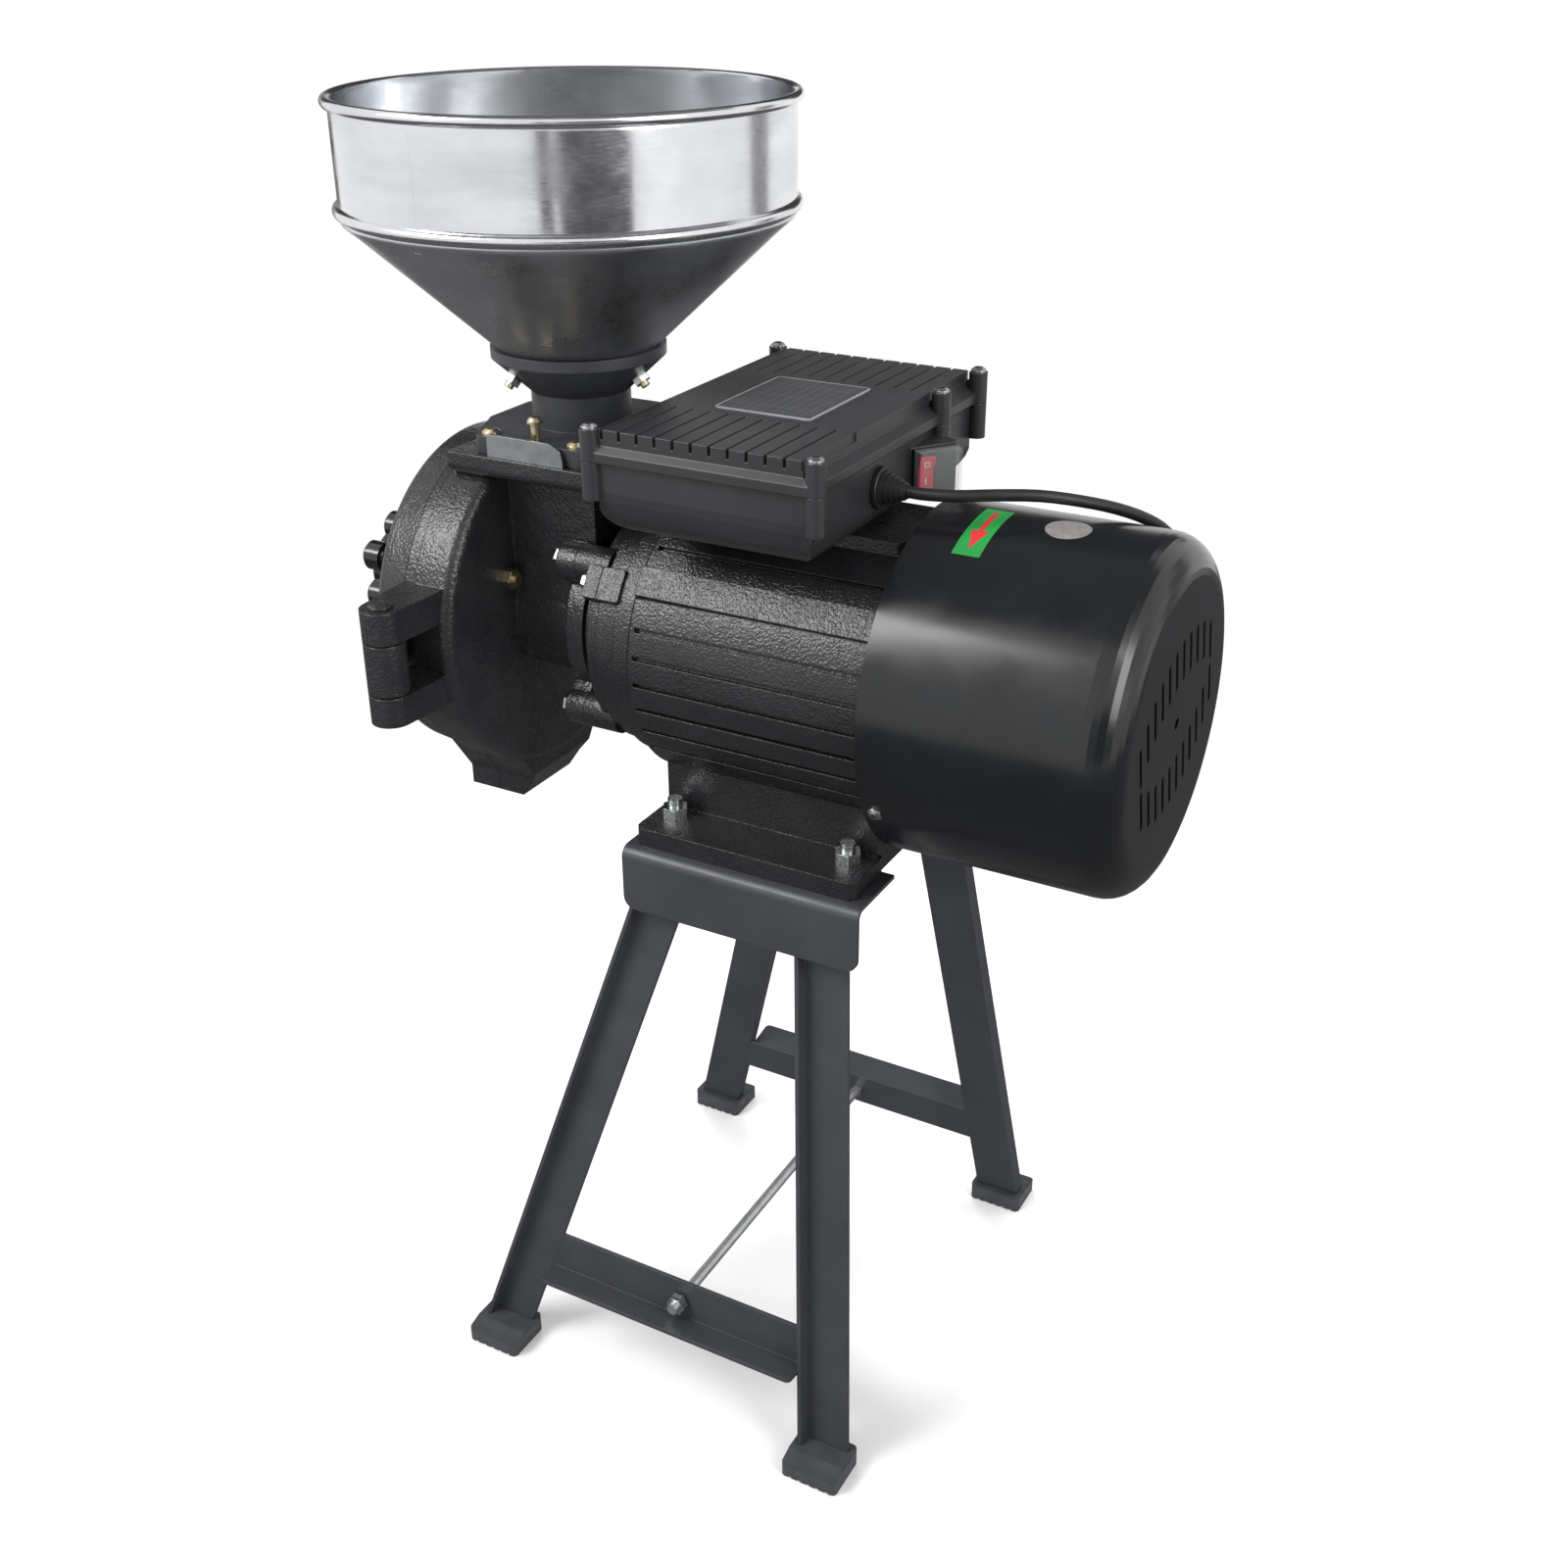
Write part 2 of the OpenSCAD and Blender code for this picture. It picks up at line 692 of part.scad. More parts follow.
// Motor
module lugs(x0, x1) for (a = lug_angles) rotate([a, 0, 0])
  block(x0, x1, lug_bolt_r - lug_h / 2, lug_r, -lug_w / 2, lug_w / 2);
module lug_holes(x0, x1) for (a = lug_angles) rotate([a, 0, 0]) translate([0, lug_bolt_r, 0])
  along_x(x0 - cut, x1 - x0 + 2 * cut, lug_bolt_d + 2 * run_fit);
module ears(x0, x1, x2) for (a = ear_angles) rotate([a, 0, 0]) {
  translate([0, flange_bolt_r, 0]) along_x(x0, x2 - x0, 2 * ear_r);
  block(x1, x2, hub_r, flange_bolt_r, -ear_neck, ear_neck);
}
module ear_holes(x0, x1) for (a = ear_angles) rotate([a, 0, 0]) translate([0, flange_bolt_r, 0])
  along_x(x0 - cut, x1 - x0 + 2 * cut, flange_bolt_d + 2 * run_fit);
module frame_bosses() {
  outline_x(foot_x0 + edge_step, foot_x1 - edge_step)
    polygon(rect(-foot_in_y, foot_in_y, -foot_drop, -pedestal_top));
  mirror_y() outline_z(-foot_drop, -foot_drop + foot_t)
    polygon(rounded(rect(foot_x0, foot_x1, -foot_out_y, -foot_in_y + foot_corner), foot_corner));
  outline_z(motor_bore_r, pad_top_z)
    polygon(rounded(rect(pad_x0, foot_x1, -pad_half_y, pad_half_y), foot_corner));
  for (a = [band_angle, 180 - band_angle]) rotate([a, 0, 0])
    block(step_ring_x + edge_step, motor_x1 - pedestal_wall, band_base_r, motor_r + band_h,
      -band_w / 2, band_w / 2);
  intersection() {
    ring_x(cover_x0 + cut, motor_x1, cover_boss_r0, fan_cover_r - fan_cover_t - seat_gap);
    for (a = cover_screw_angles) rotate([a, 0, 0])
      block(cover_x0, motor_x1 + cut, cover_boss_r0 - cut, fan_cover_r, -cover_boss_w / 2, cover_boss_w / 2);
  }
  lugs(motor_x0 + body_gap, front_ring_x + cut);
}
module motor_frame() color("#17181a") place() difference() {
  union() {
    turned_x([[motor_x0, 0], [motor_x1, 0], [motor_x1, motor_r], [step_ring_x + edge_step, motor_r],
      [step_ring_x, motor_r - edge_step], [step_ring_x, step_ring_r], [front_ring_x, step_ring_r],
      [front_ring_x, front_ring_r], [motor_x0, front_ring_r]]);
    frame_bosses();
  }
  along_x(motor_x0 - cut, motor_x1, 2 * front_bore_r);
  along_x(front_ring_x + front_ring_wall, motor_x1, 2 * motor_bore_r);
  block(foot_x0 + edge_step + pedestal_wall, foot_x1 - edge_step - pedestal_wall,
    -foot_in_y + pedestal_wall, foot_in_y - pedestal_wall, -foot_drop - cut, -motor_r - edge_step);
  for (a = groove_angles) for (b = [a, 180 - a]) rotate([b, 0, 0])
    block(groove_x0, groove_x1, motor_r - groove_d, motor_r + cut, -groove_w / 2, groove_w / 2);
  for (x = foot_bolt_x) for (s = [-1, 1]) translate([x, s * foot_pitch_y / 2, -foot_drop - cut])
    cylinder(h = foot_t + 2 * cut, d = foot_bolt_d + 2 * hole_gap);
  for (a = cover_screw_angles) rotate([a, 0, 0]) translate([cover_screw_x, cover_boss_r0 + edge_step, 0])
    rotate([-90, 0, 0]) cylinder(h = fan_cover_r, d = small_screw_d + 2 * run_fit);
  translate([wire_hole_x, 0, stator_bore_r]) cylinder(h = motor_r, d = wire_hole_d);
  lug_holes(motor_x0, front_ring_x);
}
module front_end_shield() color("#17181a") place() difference() {
  union() {
    ring_x(shield_x0, shield_ring_x, shaft_front_d / 2 + hole_gap, shield_front_r);
    ring_x(shield_ring_x, motor_x0, shaft_front_d / 2 + hole_gap, shield_r);
    ring_x(motor_x0 - cut, motor_x0 + spigot_l, front_bore_r - spigot_wall, front_bore_r - seat_gap);
    ears(flange_x, shield_x0, motor_x0 - body_gap);
    lugs(shield_lug_x, motor_x0);
  }
  along_x(bearing_front_x, bearing_front_w + cut, bearing_front_od + 2 * run_fit);
  along_x(bearing_front_x + bearing_front_w, motor_x0, bearing_front_od - 2 * bearing_lip);
  ear_holes(flange_x, motor_x0 - edge_step);
  lug_holes(shield_lug_x, motor_x0);
}
module rear_end_shield() color("#17181a") place() difference() {
  union() {
    ring_x(motor_x1, motor_x1 + rear_shield_wall, shaft_rear_d / 2 + hole_gap, motor_r);
    ring_x(motor_x1, rear_shield_x1, shaft_rear_d / 2 + hole_gap, rear_hub_r);
    ring_x(motor_x1 - spigot_l, motor_x1 + cut, motor_bore_r - spigot_wall, motor_bore_r - seat_gap);
  }
  along_x(motor_x1 - cut, bearing_rear_x + bearing_rear_w - motor_x1 + cut, bearing_rear_od + 2 * run_fit);
}
module stator_core() color("#8c8f92") place() difference() {
  ring_x(stator_x0, stator_x0 + stator_l, stator_bore_r, motor_bore_r - seat_gap);
  for (i = [1:core_slots]) rotate([i * 360 / core_slots, 0, 0])
    block(stator_x0 - cut, stator_x0 + stator_l + cut, stator_bore_r - cut, stator_bore_r + core_slot_d,
      -core_slot_w / 2, core_slot_w / 2);
}
module stator_windings() color("#a4592a") place()
  for (x = [stator_x0 - winding_l - winding_gap, stator_x0 + stator_l + winding_gap])
    ring_x(x, x + winding_l, winding_r0, winding_r1);
module rotor_core() color("#9a9da0") place()
  ring_x(stator_x0, stator_x0 + stator_l, shaft_core_d / 2 + run_fit, stator_bore_r - air_gap);
module motor_shaft() color("#b9bcbf") place() turned_x([[shaft_front_x, 0], [shaft_front_x, shaft_nose_d / 2],
  [shaft_nose_x, shaft_nose_d / 2], [shaft_nose_x, shaft_auger_d / 2], [shaft_step_x[0], shaft_auger_d / 2],
  [shaft_step_x[0], shaft_front_d / 2], [shaft_step_x[1], shaft_front_d / 2],
  [shaft_step_x[1], shaft_core_d / 2],
  [shaft_step_x[2], shaft_core_d / 2], [shaft_step_x[2], shaft_rear_d / 2], [shaft_rear_x, shaft_rear_d / 2],
  [shaft_rear_x, 0]]);
module front_bearing() color("#c3c6c9") place() ring_x(bearing_front_x, bearing_front_x + bearing_front_w,
  shaft_front_d / 2 + run_fit, bearing_front_od / 2);
module rear_bearing() color("#c3c6c9") place() ring_x(bearing_rear_x, bearing_rear_x + bearing_rear_w,
  shaft_rear_d / 2 + run_fit, bearing_rear_od / 2);
module cooling_fan() color("#3a3c3e") place() {
  ring_x(fan_x0, fan_x0 + fan_hub_w, shaft_rear_d / 2 + run_fit, fan_hub_r);
  ring_x(fan_x0, fan_x0 + fan_plate_t, fan_hub_r - cut, fan_r);
  for (i = [1:fan_blades]) rotate([i * 360 / fan_blades, 0, 0])
    block(fan_x0 + cut, fan_x0 + fan_w, fan_hub_r - edge_step, fan_r - cut, -fan_blade_t / 2, fan_blade_t / 2);
}
module fan_cover() color("#141517") place() difference() {
  turned_x(concat([[cover_x0, fan_cover_r - fan_cover_t], [cover_x0, fan_cover_r]],
    corner([cover_x0, fan_cover_r], [fan_cover_x1, fan_cover_r], [fan_cover_x1, 0], fan_cover_round),
    [[fan_cover_x1, 0], [fan_cover_x1 - fan_cover_t, 0]],
    corner([fan_cover_x1 - fan_cover_t, 0], [fan_cover_x1 - fan_cover_t, fan_cover_r - fan_cover_t],
      [cover_x0, fan_cover_r - fan_cover_t], fan_cover_round - fan_cover_t)));
  rotate([slot_tilt, 0, 0]) outline_x(fan_cover_x1 - fan_cover_t - cut, fan_cover_x1 + cut)
    for (i = [0:slot_count - 1]) for (s = [-1, 1]) {
      y = (i - (slot_count - 1) / 2) * slot_pitch;
      z = slot_offset - slot_arc_r + sqrt(slot_arc_r * slot_arc_r - y * y);
      translate([y, s * z]) square([slot_w, slot_l - slot_w], center = true);
      for (e = [-1, 1]) translate([y, s * z + e * (slot_l - slot_w) / 2]) circle(d = slot_w, $fn = 24);
    }
  along_x(fan_cover_x1 - fan_cover_t - cut, fan_cover_t + 2 * cut, centre_hole_d);
  for (a = cover_screw_angles) rotate([a, 0, 0]) translate([cover_screw_x, fan_cover_r - fan_cover_t - cut, 0])
    rotate([-90, 0, 0]) cylinder(h = fan_cover_t + 2 * cut, d = small_screw_d + 2 * hole_gap);
}
module fan_cover_screws() color("#c9c9c4") place() for (a = cover_screw_angles)
  rotate([a, 0, 0]) translate([cover_screw_x, fan_cover_r, 0]) rotate([-90, 0, 0]) {
    pan_head(small_head_d, small_head_h);
    translate([0, 0, -small_screw_l]) cylinder(h = small_screw_l, d = small_screw_d);
  }
module shield_bolts() color("#c9c9c4") place() for (a = lug_angles) rotate([a, 0, 0])
 translate([0, lug_bolt_r, 0]) {
  translate([shield_lug_x - head_h, 0, 0]) hex_x(lug_bolt_af, head_h);
  along_x(shield_lug_x - cut, front_ring_x - shield_lug_x, lug_bolt_d);
}
module mill_flange_bolts() color("#c9c9c4") place() for (a = ear_angles) rotate([a, 0, 0])
  translate([0, flange_bolt_r, 0]) {
    translate([hub_x1 - flange_bolt_h, 0, 0]) hex_x(flange_bolt_af, flange_bolt_h);
    along_x(hub_x1 - cut, flange_bolt_l, flange_bolt_d);
  }
module foundation_bolts() color("#c9c9c4") place() for (x = foot_bolt_x) for (s = [-1, 1])
  translate([x, s * foot_pitch_y / 2, 0]) {
    translate([0, 0, -foot_drop - stand_t - foot_head_h]) hex(foot_nut_af, foot_head_h);
    translate([0, 0, -foot_drop - stand_t - cut])
      cylinder(h = stand_t + foot_t + foot_nut_h + foot_bolt_out + cut, d = foot_bolt_d);
    translate([0, 0, -foot_drop + foot_t]) difference() {
      hex(foot_nut_af, foot_nut_h);
      translate([0, 0, -cut]) cylinder(h = foot_nut_h + 2 * cut, d = foot_bolt_d + 2 * run_fit);
    }
  }

// Control box
module box_shape(g, z1) intersection() {
  x0 = box_x0 + g;
  x1 = box_x1 - g;
  y1 = box_l / 2 - g;
  outline_x(x0, x1) polygon(concat([[y1, z1], [-y1, z1]],
    corner([-y1, z1], [-y1, box_z + g], [y1, box_z + g], box_round_y - g),
    corner([-y1, box_z + g], [y1, box_z + g], [y1, z1], box_round_y - g)));
  outline_y(-y1, y1) polygon(concat([[x1, z1], [x0, z1]],
    corner([x0, z1], [x0, box_z + g], [x1, box_z + g], box_round_x - g),
    corner([x0, box_z + g], [x1, box_z + g], [x1, z1], box_round_x - g)));
  outline_z(box_z, z1) polygon(rounded(rect(x0, x1, -y1, y1), box_corner_r - g / 2));
}
module posts(z0, z1, r) for (s = post_shares)
  translate([s[0] > 0 ? box_x1 + post_out : box_x0 - post_out, s[1] * box_l / 2, z0])
    cylinder(h = z1 - z0, r = r);
module at_switch() translate(switch_at) rotate([0, 0, -switch_turn]) children();
module box_body() color("#1b1c1e") place() difference() {
  union() {
    box_shape(0, box_top_z);
    posts(box_top_z - post_h, box_top_z, post_r);
    difference() {
      at_switch() outline_z(-switch_w / 2 - cut, switch_w / 2 + cut)
        polygon(concat([[0, -switch_w / 2 - 2 * cut], [0, switch_w / 2 + cut]], switch_wedge));
      block(box_x0, box_x1 - box_wall, -box_l, box_l, 0, box_top_z + box_h);
    }
  }
  box_shape(box_wall, box_top_z + cut);
  at_switch() block(-switch_depth - hole_gap, cut, -switch_w / 2 + switch_lip - seat_gap,
    switch_w / 2 - switch_lip + seat_gap, -switch_w / 2 + switch_lip - seat_gap,
    switch_w / 2 - switch_lip + seat_gap);
  translate([0, gland_y, gland_z])
    along_x(box_x1 - box_wall - cut, box_wall + 2 * cut, cord_d + 2 * hole_gap);
  translate([wire_hole_x, 0, box_z - cut]) cylinder(h = box_wall + 2 * cut, d = wire_hole_d);
  posts(box_top_z - small_screw_l, box_top_z + cut, small_screw_d / 2 + run_fit);
}
module lid_shape() {
  y1 = box_l / 2;
  z0 = box_top_z;
  intersection() {
    outline_x(box_x0 - lid_lip, box_x1 + lid_lip) polygon([[-y1 - lid_lip, z0], [y1 + lid_lip, z0],
      [y1 + lid_lip, z0 + lid_lip_h], [y1, z0 + lid_slope_h], [y1, z0 + lid_h], [-y1, z0 + lid_h],
      [-y1, z0 + lid_slope_h], [-y1 - lid_lip, z0 + lid_lip_h]]);
    outline_y(-y1 - lid_lip, y1 + lid_lip) polygon([[box_x0 - lid_lip, z0], [box_x1 + lid_lip, z0],
      [box_x1 + lid_lip, z0 + lid_lip_h], [box_x1 - lid_in, z0 + lid_slope_h], [box_x1 - lid_in, z0 + lid_h],
      [box_x0 + lid_in, z0 + lid_h], [box_x0 + lid_in, z0 + lid_slope_h], [box_x0 - lid_lip, z0 + lid_lip_h]]);
    outline_z(z0, z0 + lid_h)
      polygon(rounded(rect(box_x0 - lid_lip, box_x1 + lid_lip, -y1 - lid_lip, y1 + lid_lip), box_corner_r));
  }
}
module box_lid() color("#1b1c1e") place() difference() {
  union() {
    lid_shape();
    posts(box_top_z, box_top_z + lid_h, post_r);
  }
  block(box_x0 + lid_in + box_wall, box_x1 - lid_in - box_wall, -box_l / 2 + lid_groove_in,
    box_l / 2 - lid_groove_in, box_top_z - cut, box_top_z + lid_h - box_wall);
  block(box_x0 + lid_in + box_wall, box_x1 - lid_in - box_wall, -box_l / 2 + box_wall, box_l / 2 - box_wall,
    box_top_z - cut, box_top_z + lid_h - lid_groove_d - box_wall);
  for (i = [0:lid_grooves - 1]) mirror_y() {
    x = box_x0 + lid_groove_x0 + i * (lid_groove_x1 - lid_groove_x0) / (lid_grooves - 1);
    block(x - lid_groove_w / 2, x + lid_groove_w / 2, -box_l / 2 - cut, -box_l / 2 + lid_groove_in,
      box_top_z + lid_h - lid_groove_d, box_top_z + lid_h + cut);
  }
  posts(box_top_z - cut, box_top_z + lid_h + cut, small_screw_d / 2 + run_fit);
}
module lid_screws() color("#c9c9c4") place() for (s = post_shares)
  translate([s[0] > 0 ? box_x1 + post_out : box_x0 - post_out, s[1] * box_l / 2, box_top_z + lid_h]) {
    pan_head(small_head_d, small_head_h);
    translate([0, 0, -lid_h - small_screw_l + cut]) cylinder(h = lid_h + small_screw_l, d = small_screw_d);
  }
module rating_plate() color("#c9cbcc") place() outline_z(box_top_z + lid_h, box_top_z + lid_h + name_t)
  polygon(rounded(rect(box_x0 + box_w / 2 - name_w / 2, box_x0 + box_w / 2 + name_w / 2,
    -name_l / 2, name_l / 2), box_wall));
module switch_frame() color("#101112") place() at_switch() difference() {
  union() {
    block(0, switch_t, -switch_w / 2, switch_w / 2, -switch_w / 2, switch_w / 2);
    block(-switch_depth, cut, -switch_w / 2 + switch_lip, switch_w / 2 - switch_lip,
      -switch_w / 2 + switch_lip, switch_w / 2 - switch_lip);
  }
  block(-switch_depth + box_wall, switch_t + cut, rocker_y0 - body_gap, rocker_y0 + rocker_w + body_gap,
    -rocker_hole_h / 2, rocker_hole_h / 2);
}
module switch_rocker() color("#c1121f") place() at_switch() translate([-rocker_pivot, 0, 0])
  rotate([0, rocker_tilt, 0]) outline_y(rocker_y0, rocker_y0 + rocker_w) polygon(rocker_points);
module switch_cover() color("#d9dcdd") place() at_switch() difference() {
  block(switch_t, switch_t + switch_hood_h, -switch_w / 2, switch_w / 2, -switch_w / 2, switch_w / 2);
  block(switch_t - cut, switch_t + switch_hood_h - switch_hood_t, -switch_w / 2 + switch_hood_t,
    switch_w / 2 - switch_hood_t, -switch_w / 2 + switch_hood_t, switch_w / 2 - switch_hood_t);
}
module capacitor(at, d, l) translate(at) rotate([-90, 0, 0]) {
  cylinder(h = l, d = d);
  for (s = [-1, 1]) translate([s * d / 5, 0, l - cut]) cylinder(h = screw_d + cut, d = screw_d);
}
module start_capacitor() color("#2a2b2d") place() capacitor(cap_start_at, cap_start_d, cap_start_l);
module run_capacitor() color("#e6e6e0") place() capacitor(cap_run_at, cap_run_d, cap_run_l);
module terminal_block() color("#e9e4d6") place()
 translate([terminal_at[0], terminal_at[1], box_z + box_wall]) {
  cube([terminal_size[0], terminal_size[1], terminal_base_h]);
  for (i = [0:terminal_poles - 1])
    translate([terminal_size[0] / 2, (i + 0.5) * terminal_size[1] / terminal_poles, 0])
      cylinder(h = terminal_size[2], d = head_d);
}
module cable_gland() color("#141517") place() translate([0, gland_y, gland_z]) turned_x([
  [box_x1, cord_d / 2 + run_fit], [box_x1, gland_base_d / 2], [box_x1 + gland_base_l, gland_base_d / 2],
  [box_x1 + gland_l - gland_base_l, gland_tip_d / 2], [box_x1 + gland_l, gland_tip_d / 2],
  [box_x1 + gland_l, cord_d / 2 + run_fit]]);

// Mill head
module spout_outline(g) {
  z0 = -spout_drop - (g > 0 ? cut : 0);
  polygon([[-spout_half_y + g, z0], [spout_half_y - g, z0], [spout_half_y - g, spout_neck_z],
    [spout_half_y + spout_flare - g, spout_top_z], [-spout_half_y - spout_flare + g, spout_top_z],
    [-spout_half_y + g, spout_neck_z]]);
}
module hinge_eye(z, x0, x1, in_y, out_y) outline_z(z[0], z[1]) {
  translate([hinge_x, -hinge_y]) circle(r = hinge_eye_r);
  polygon([[hinge_x - hinge_eye_r, -hinge_y], [x0, -out_y], [x0, -in_y], [x1, -in_y], [x1, -out_y],
    [hinge_x + hinge_eye_r, -hinge_y]]);
}
module pin_hole(z) translate([hinge_x, -hinge_y, z[0] - cut])
  cylinder(h = z[1] - z[0] + 2 * cut, d = hinge_pin_d + 2 * run_fit);
module mill_housing() color("#1b1d1f") place() difference() {
  union() {
    difference() {
      turned_x(concat([[seam_x, 0], [seam_x, head_r], [head_band_x, head_r], [head_band_x, head_band_r]],
        corner([head_band_x, head_band_r], [head_rear_x, head_band_r], [head_rear_x, hub_r], head_round),
        [[head_rear_x, hub_r], [hub_x1 + flange_step, hub_r], [hub_x1 + flange_step, flange_r],
          [flange_x, flange_r], [flange_x, 0]]));
      block(seam_x - cut, flange_x, -head_band_r, head_band_r, plate_z, head_band_r + cut);
    }
    block(duct_x0, flange_x - edge_step, -duct_half_y, duct_half_y, 0, duct_step_z);
    block(duct_x0, duct_x1, -duct_half_y, duct_half_y, duct_step_z - cut, plate_z - ledge_t + cut);
    outline_x(-ledge_half_x, ledge_half_x) polygon(concat([[ledge_half_y, plate_z], [-ledge_half_y, plate_z]],
      corner([-ledge_half_y, plate_z], [-ledge_half_y, plate_z - ledge_t], [0, plate_z - ledge_t], ledge_round),
      corner([0, plate_z - ledge_t], [ledge_half_y, plate_z - ledge_t], [ledge_half_y, plate_z], ledge_round)));
    ears(hub_x1, hub_x1, flange_x);
    intersection() {
      outline_x(seam_x, spout_top_x1) spout_outline(0);
      outline_y(-head_r, head_r) polygon([[seam_x, -spout_drop], [spout_x1, -spout_drop],
        [spout_top_x1, spout_neck_z + head_round], [spout_top_x1, spout_top_z], [seam_x, spout_top_z]]);
    }
    hinge_eye(eye_top_z, arm_x0, arm_x1, arm_in_y, arm_out_y);
    hinge_eye(eye_low_z, arm_x0, arm_x1, arm_in_y, arm_out_y);
    translate([0, clamp_y, 0]) along_x(seam_x, clamp_depth + cast_wall, 2 * clamp_lug_r);
    block(seam_x, seam_x + clamp_depth + cast_wall, clamp_lug_in_y, clamp_y, -clamp_lug_r, clamp_lug_r);
  }
  along_x(seam_x - cut, back_in_x - seam_x + cut, 2 * chamber_r);
  along_x(back_in_x - cut, hub_floor_x - back_in_x + cut, feed_bore);
  along_x(hub_floor_x - cut, flange_x, shaft_auger_d + 2 * hole_gap);
  along_x(seal_x, flange_x, seal_od + 2 * run_fit);
  block(-duct_in_x, duct_in_x, -duct_in_y, duct_in_y, duct_step_z, plate_z + cut);
  block(-duct_in_x, duct_low_x1, -duct_in_y, duct_in_y, duct_floor_z, duct_step_z + cut);
  intersection() {
    outline_x(seam_x - cut, spout_top_x1) spout_outline(spout_wall);
    outline_y(-head_r, head_r) polygon([[seam_x - cut, -spout_drop - cut],
      [spout_x1 - spout_wall, -spout_drop - cut],
      [back_in_x, spout_neck_z + head_round], [back_in_x, spout_top_z], [seam_x - cut, spout_top_z]]);
  }
  for (a = disc_bolt_angles) rotate([a, 0, 0]) translate([0, disc_bolt_r, 0])
    along_x(back_in_x - cut, head_rear_x - back_in_x + 2 * cut, disc_bolt_d + 2 * run_fit);
  ear_holes(hub_x1, flange_x);
  for (x = [-plate_screw_x, plate_screw_x]) for (y = [-plate_screw_y, plate_screw_y])
    translate([x, y, plate_z - ledge_t + cut]) cylinder(h = ledge_t, d = screw_d + 2 * run_fit);
  pin_hole(eye_top_z);
  pin_hole(eye_low_z);
  translate([0, clamp_y, 0]) along_x(seam_x - cut, clamp_depth + cut, clamp_d + 2 * clamp_hole_gap);
}
module front_cover() color("#1b1d1f") place() difference() {
  x1 = seam_x - body_gap;
  union() {
    turned_x(concat([[x1, 0], [x1, head_r]],
      corner([seam_x, head_r], [spout_x0, head_r - edge_step], [spout_x0, boss_r], front_round),
      [[spout_x0, boss_r], [boss_x, boss_tip_r], [boss_x, 0]]));
    outline_x(spout_x0, x1) spout_outline(0);
    hinge_eye(eye_mid_z, spout_x0 + front_round, x1, arm_in_y, cover_arm_y);
    translate([0, clamp_y, 0]) along_x(spout_x0, x1 - spout_x0, 2 * clamp_lug_r);
    block(spout_x0, x1, clamp_lug_in_y, clamp_y, -clamp_lug_r, clamp_lug_r);
  }
  along_x(spout_x0 + cast_wall, cover_depth, 2 * chamber_r);
  intersection() {
    outline_x(spout_x0 + spout_wall, seam_x) spout_outline(spout_wall);
    outline_y(-head_r, head_r) polygon([[spout_x0 + cast_wall, spout_top_z],
      [spout_x0 + cast_wall, spout_neck_z],
      [spout_x0 + spout_wall, -spout_drop - cut], [seam_x, -spout_drop - cut], [seam_x, spout_top_z]]);
  }
  along_x(boss_x - cut, spout_x0 - boss_x + cast_wall + 2 * cut, adjust_d + 2 * run_fit);
  pin_hole(eye_mid_z);
  translate([0, clamp_y, 0]) along_x(spout_x0 - cut, cover_depth + 2 * cut, clamp_d + 2 * run_fit);
}
module hinge_pin() color("#17181a") place() translate([hinge_x, -hinge_y, eye_low_z[0] - pin_end]) {
  cylinder(h = eye_top_z[1] - eye_low_z[0] + pin_end + cut, d = hinge_pin_d);
  translate([0, 0, eye_top_z[1] - eye_low_z[0] + pin_end]) pan_head(pin_head_d, pin_head_h);
}
module clamp_screw() color("#1d1e20") place() translate([0, clamp_y, 0]) {
  along_x(spout_x0 - body_gap - cut, cover_depth + body_gap + cut + clamp_engage, clamp_d);
  along_x(spout_x0 - body_gap - clamp_grip_l, clamp_grip_l, clamp_grip_d);
}
module ribs(x) for (i = [1:disc_ribs]) rotate([rib_offset + i * 360 / disc_ribs, 0, 0])
  block(x, x + rib_h + cut, rib_r0, rib_r1, -rib_w / 2, rib_w / 2);
module fixed_grinding_disc() color("#6c6f72") place() difference() {
  union() {
    ring_x(fixed_disc_x + rib_h, back_in_x, disc_eye_r, disc_r);
    ribs(fixed_disc_x);
  }
  for (a = disc_bolt_angles) rotate([a, 0, 0]) translate([fixed_disc_x + rib_h, disc_bolt_r, 0]) {
    along_x(-cut, disc_t + cut, disc_bolt_d + 2 * run_fit);
    rotate([0, 90, 0]) cylinder(h = disc_bolt_head_h, d1 = disc_bolt_head_d + 2 * run_fit,
      d2 = disc_bolt_d + 2 * run_fit);
  }
}
module moving_grinding_disc() color("#6c6f72") place() difference() {
  union() {
    along_x(moving_disc_x, disc_t - rib_h, 2 * disc_r);
    along_x(hub_cap_x, disc_t + disc_cap_t, 2 * disc_hub_r);
    ribs(moving_disc_x + disc_t - rib_h - cut);
  }
  along_x(shaft_front_x - body_gap, -shaft_front_x, shaft_nose_d + 2 * run_fit);
}
module disc_bolts() color("#c9a24b") place() for (a = disc_bolt_angles) rotate([a, 0, 0])
 translate([0, disc_bolt_r, 0]) {
  translate([fixed_disc_x + rib_h, 0, 0]) rotate([0, 90, 0])
    cylinder(h = disc_bolt_head_h, d1 = disc_bolt_head_d, d2 = disc_bolt_d);
  along_x(fixed_disc_x + rib_h + cut, disc_t + cast_wall + disc_nut_h + disc_bolt_out, disc_bolt_d);
  translate([head_rear_x, 0, 0]) difference() {
    hex_x(disc_nut_af, disc_nut_h);
    along_x(-cut, disc_nut_h + 2 * cut, disc_bolt_d + 2 * run_fit);
  }
}
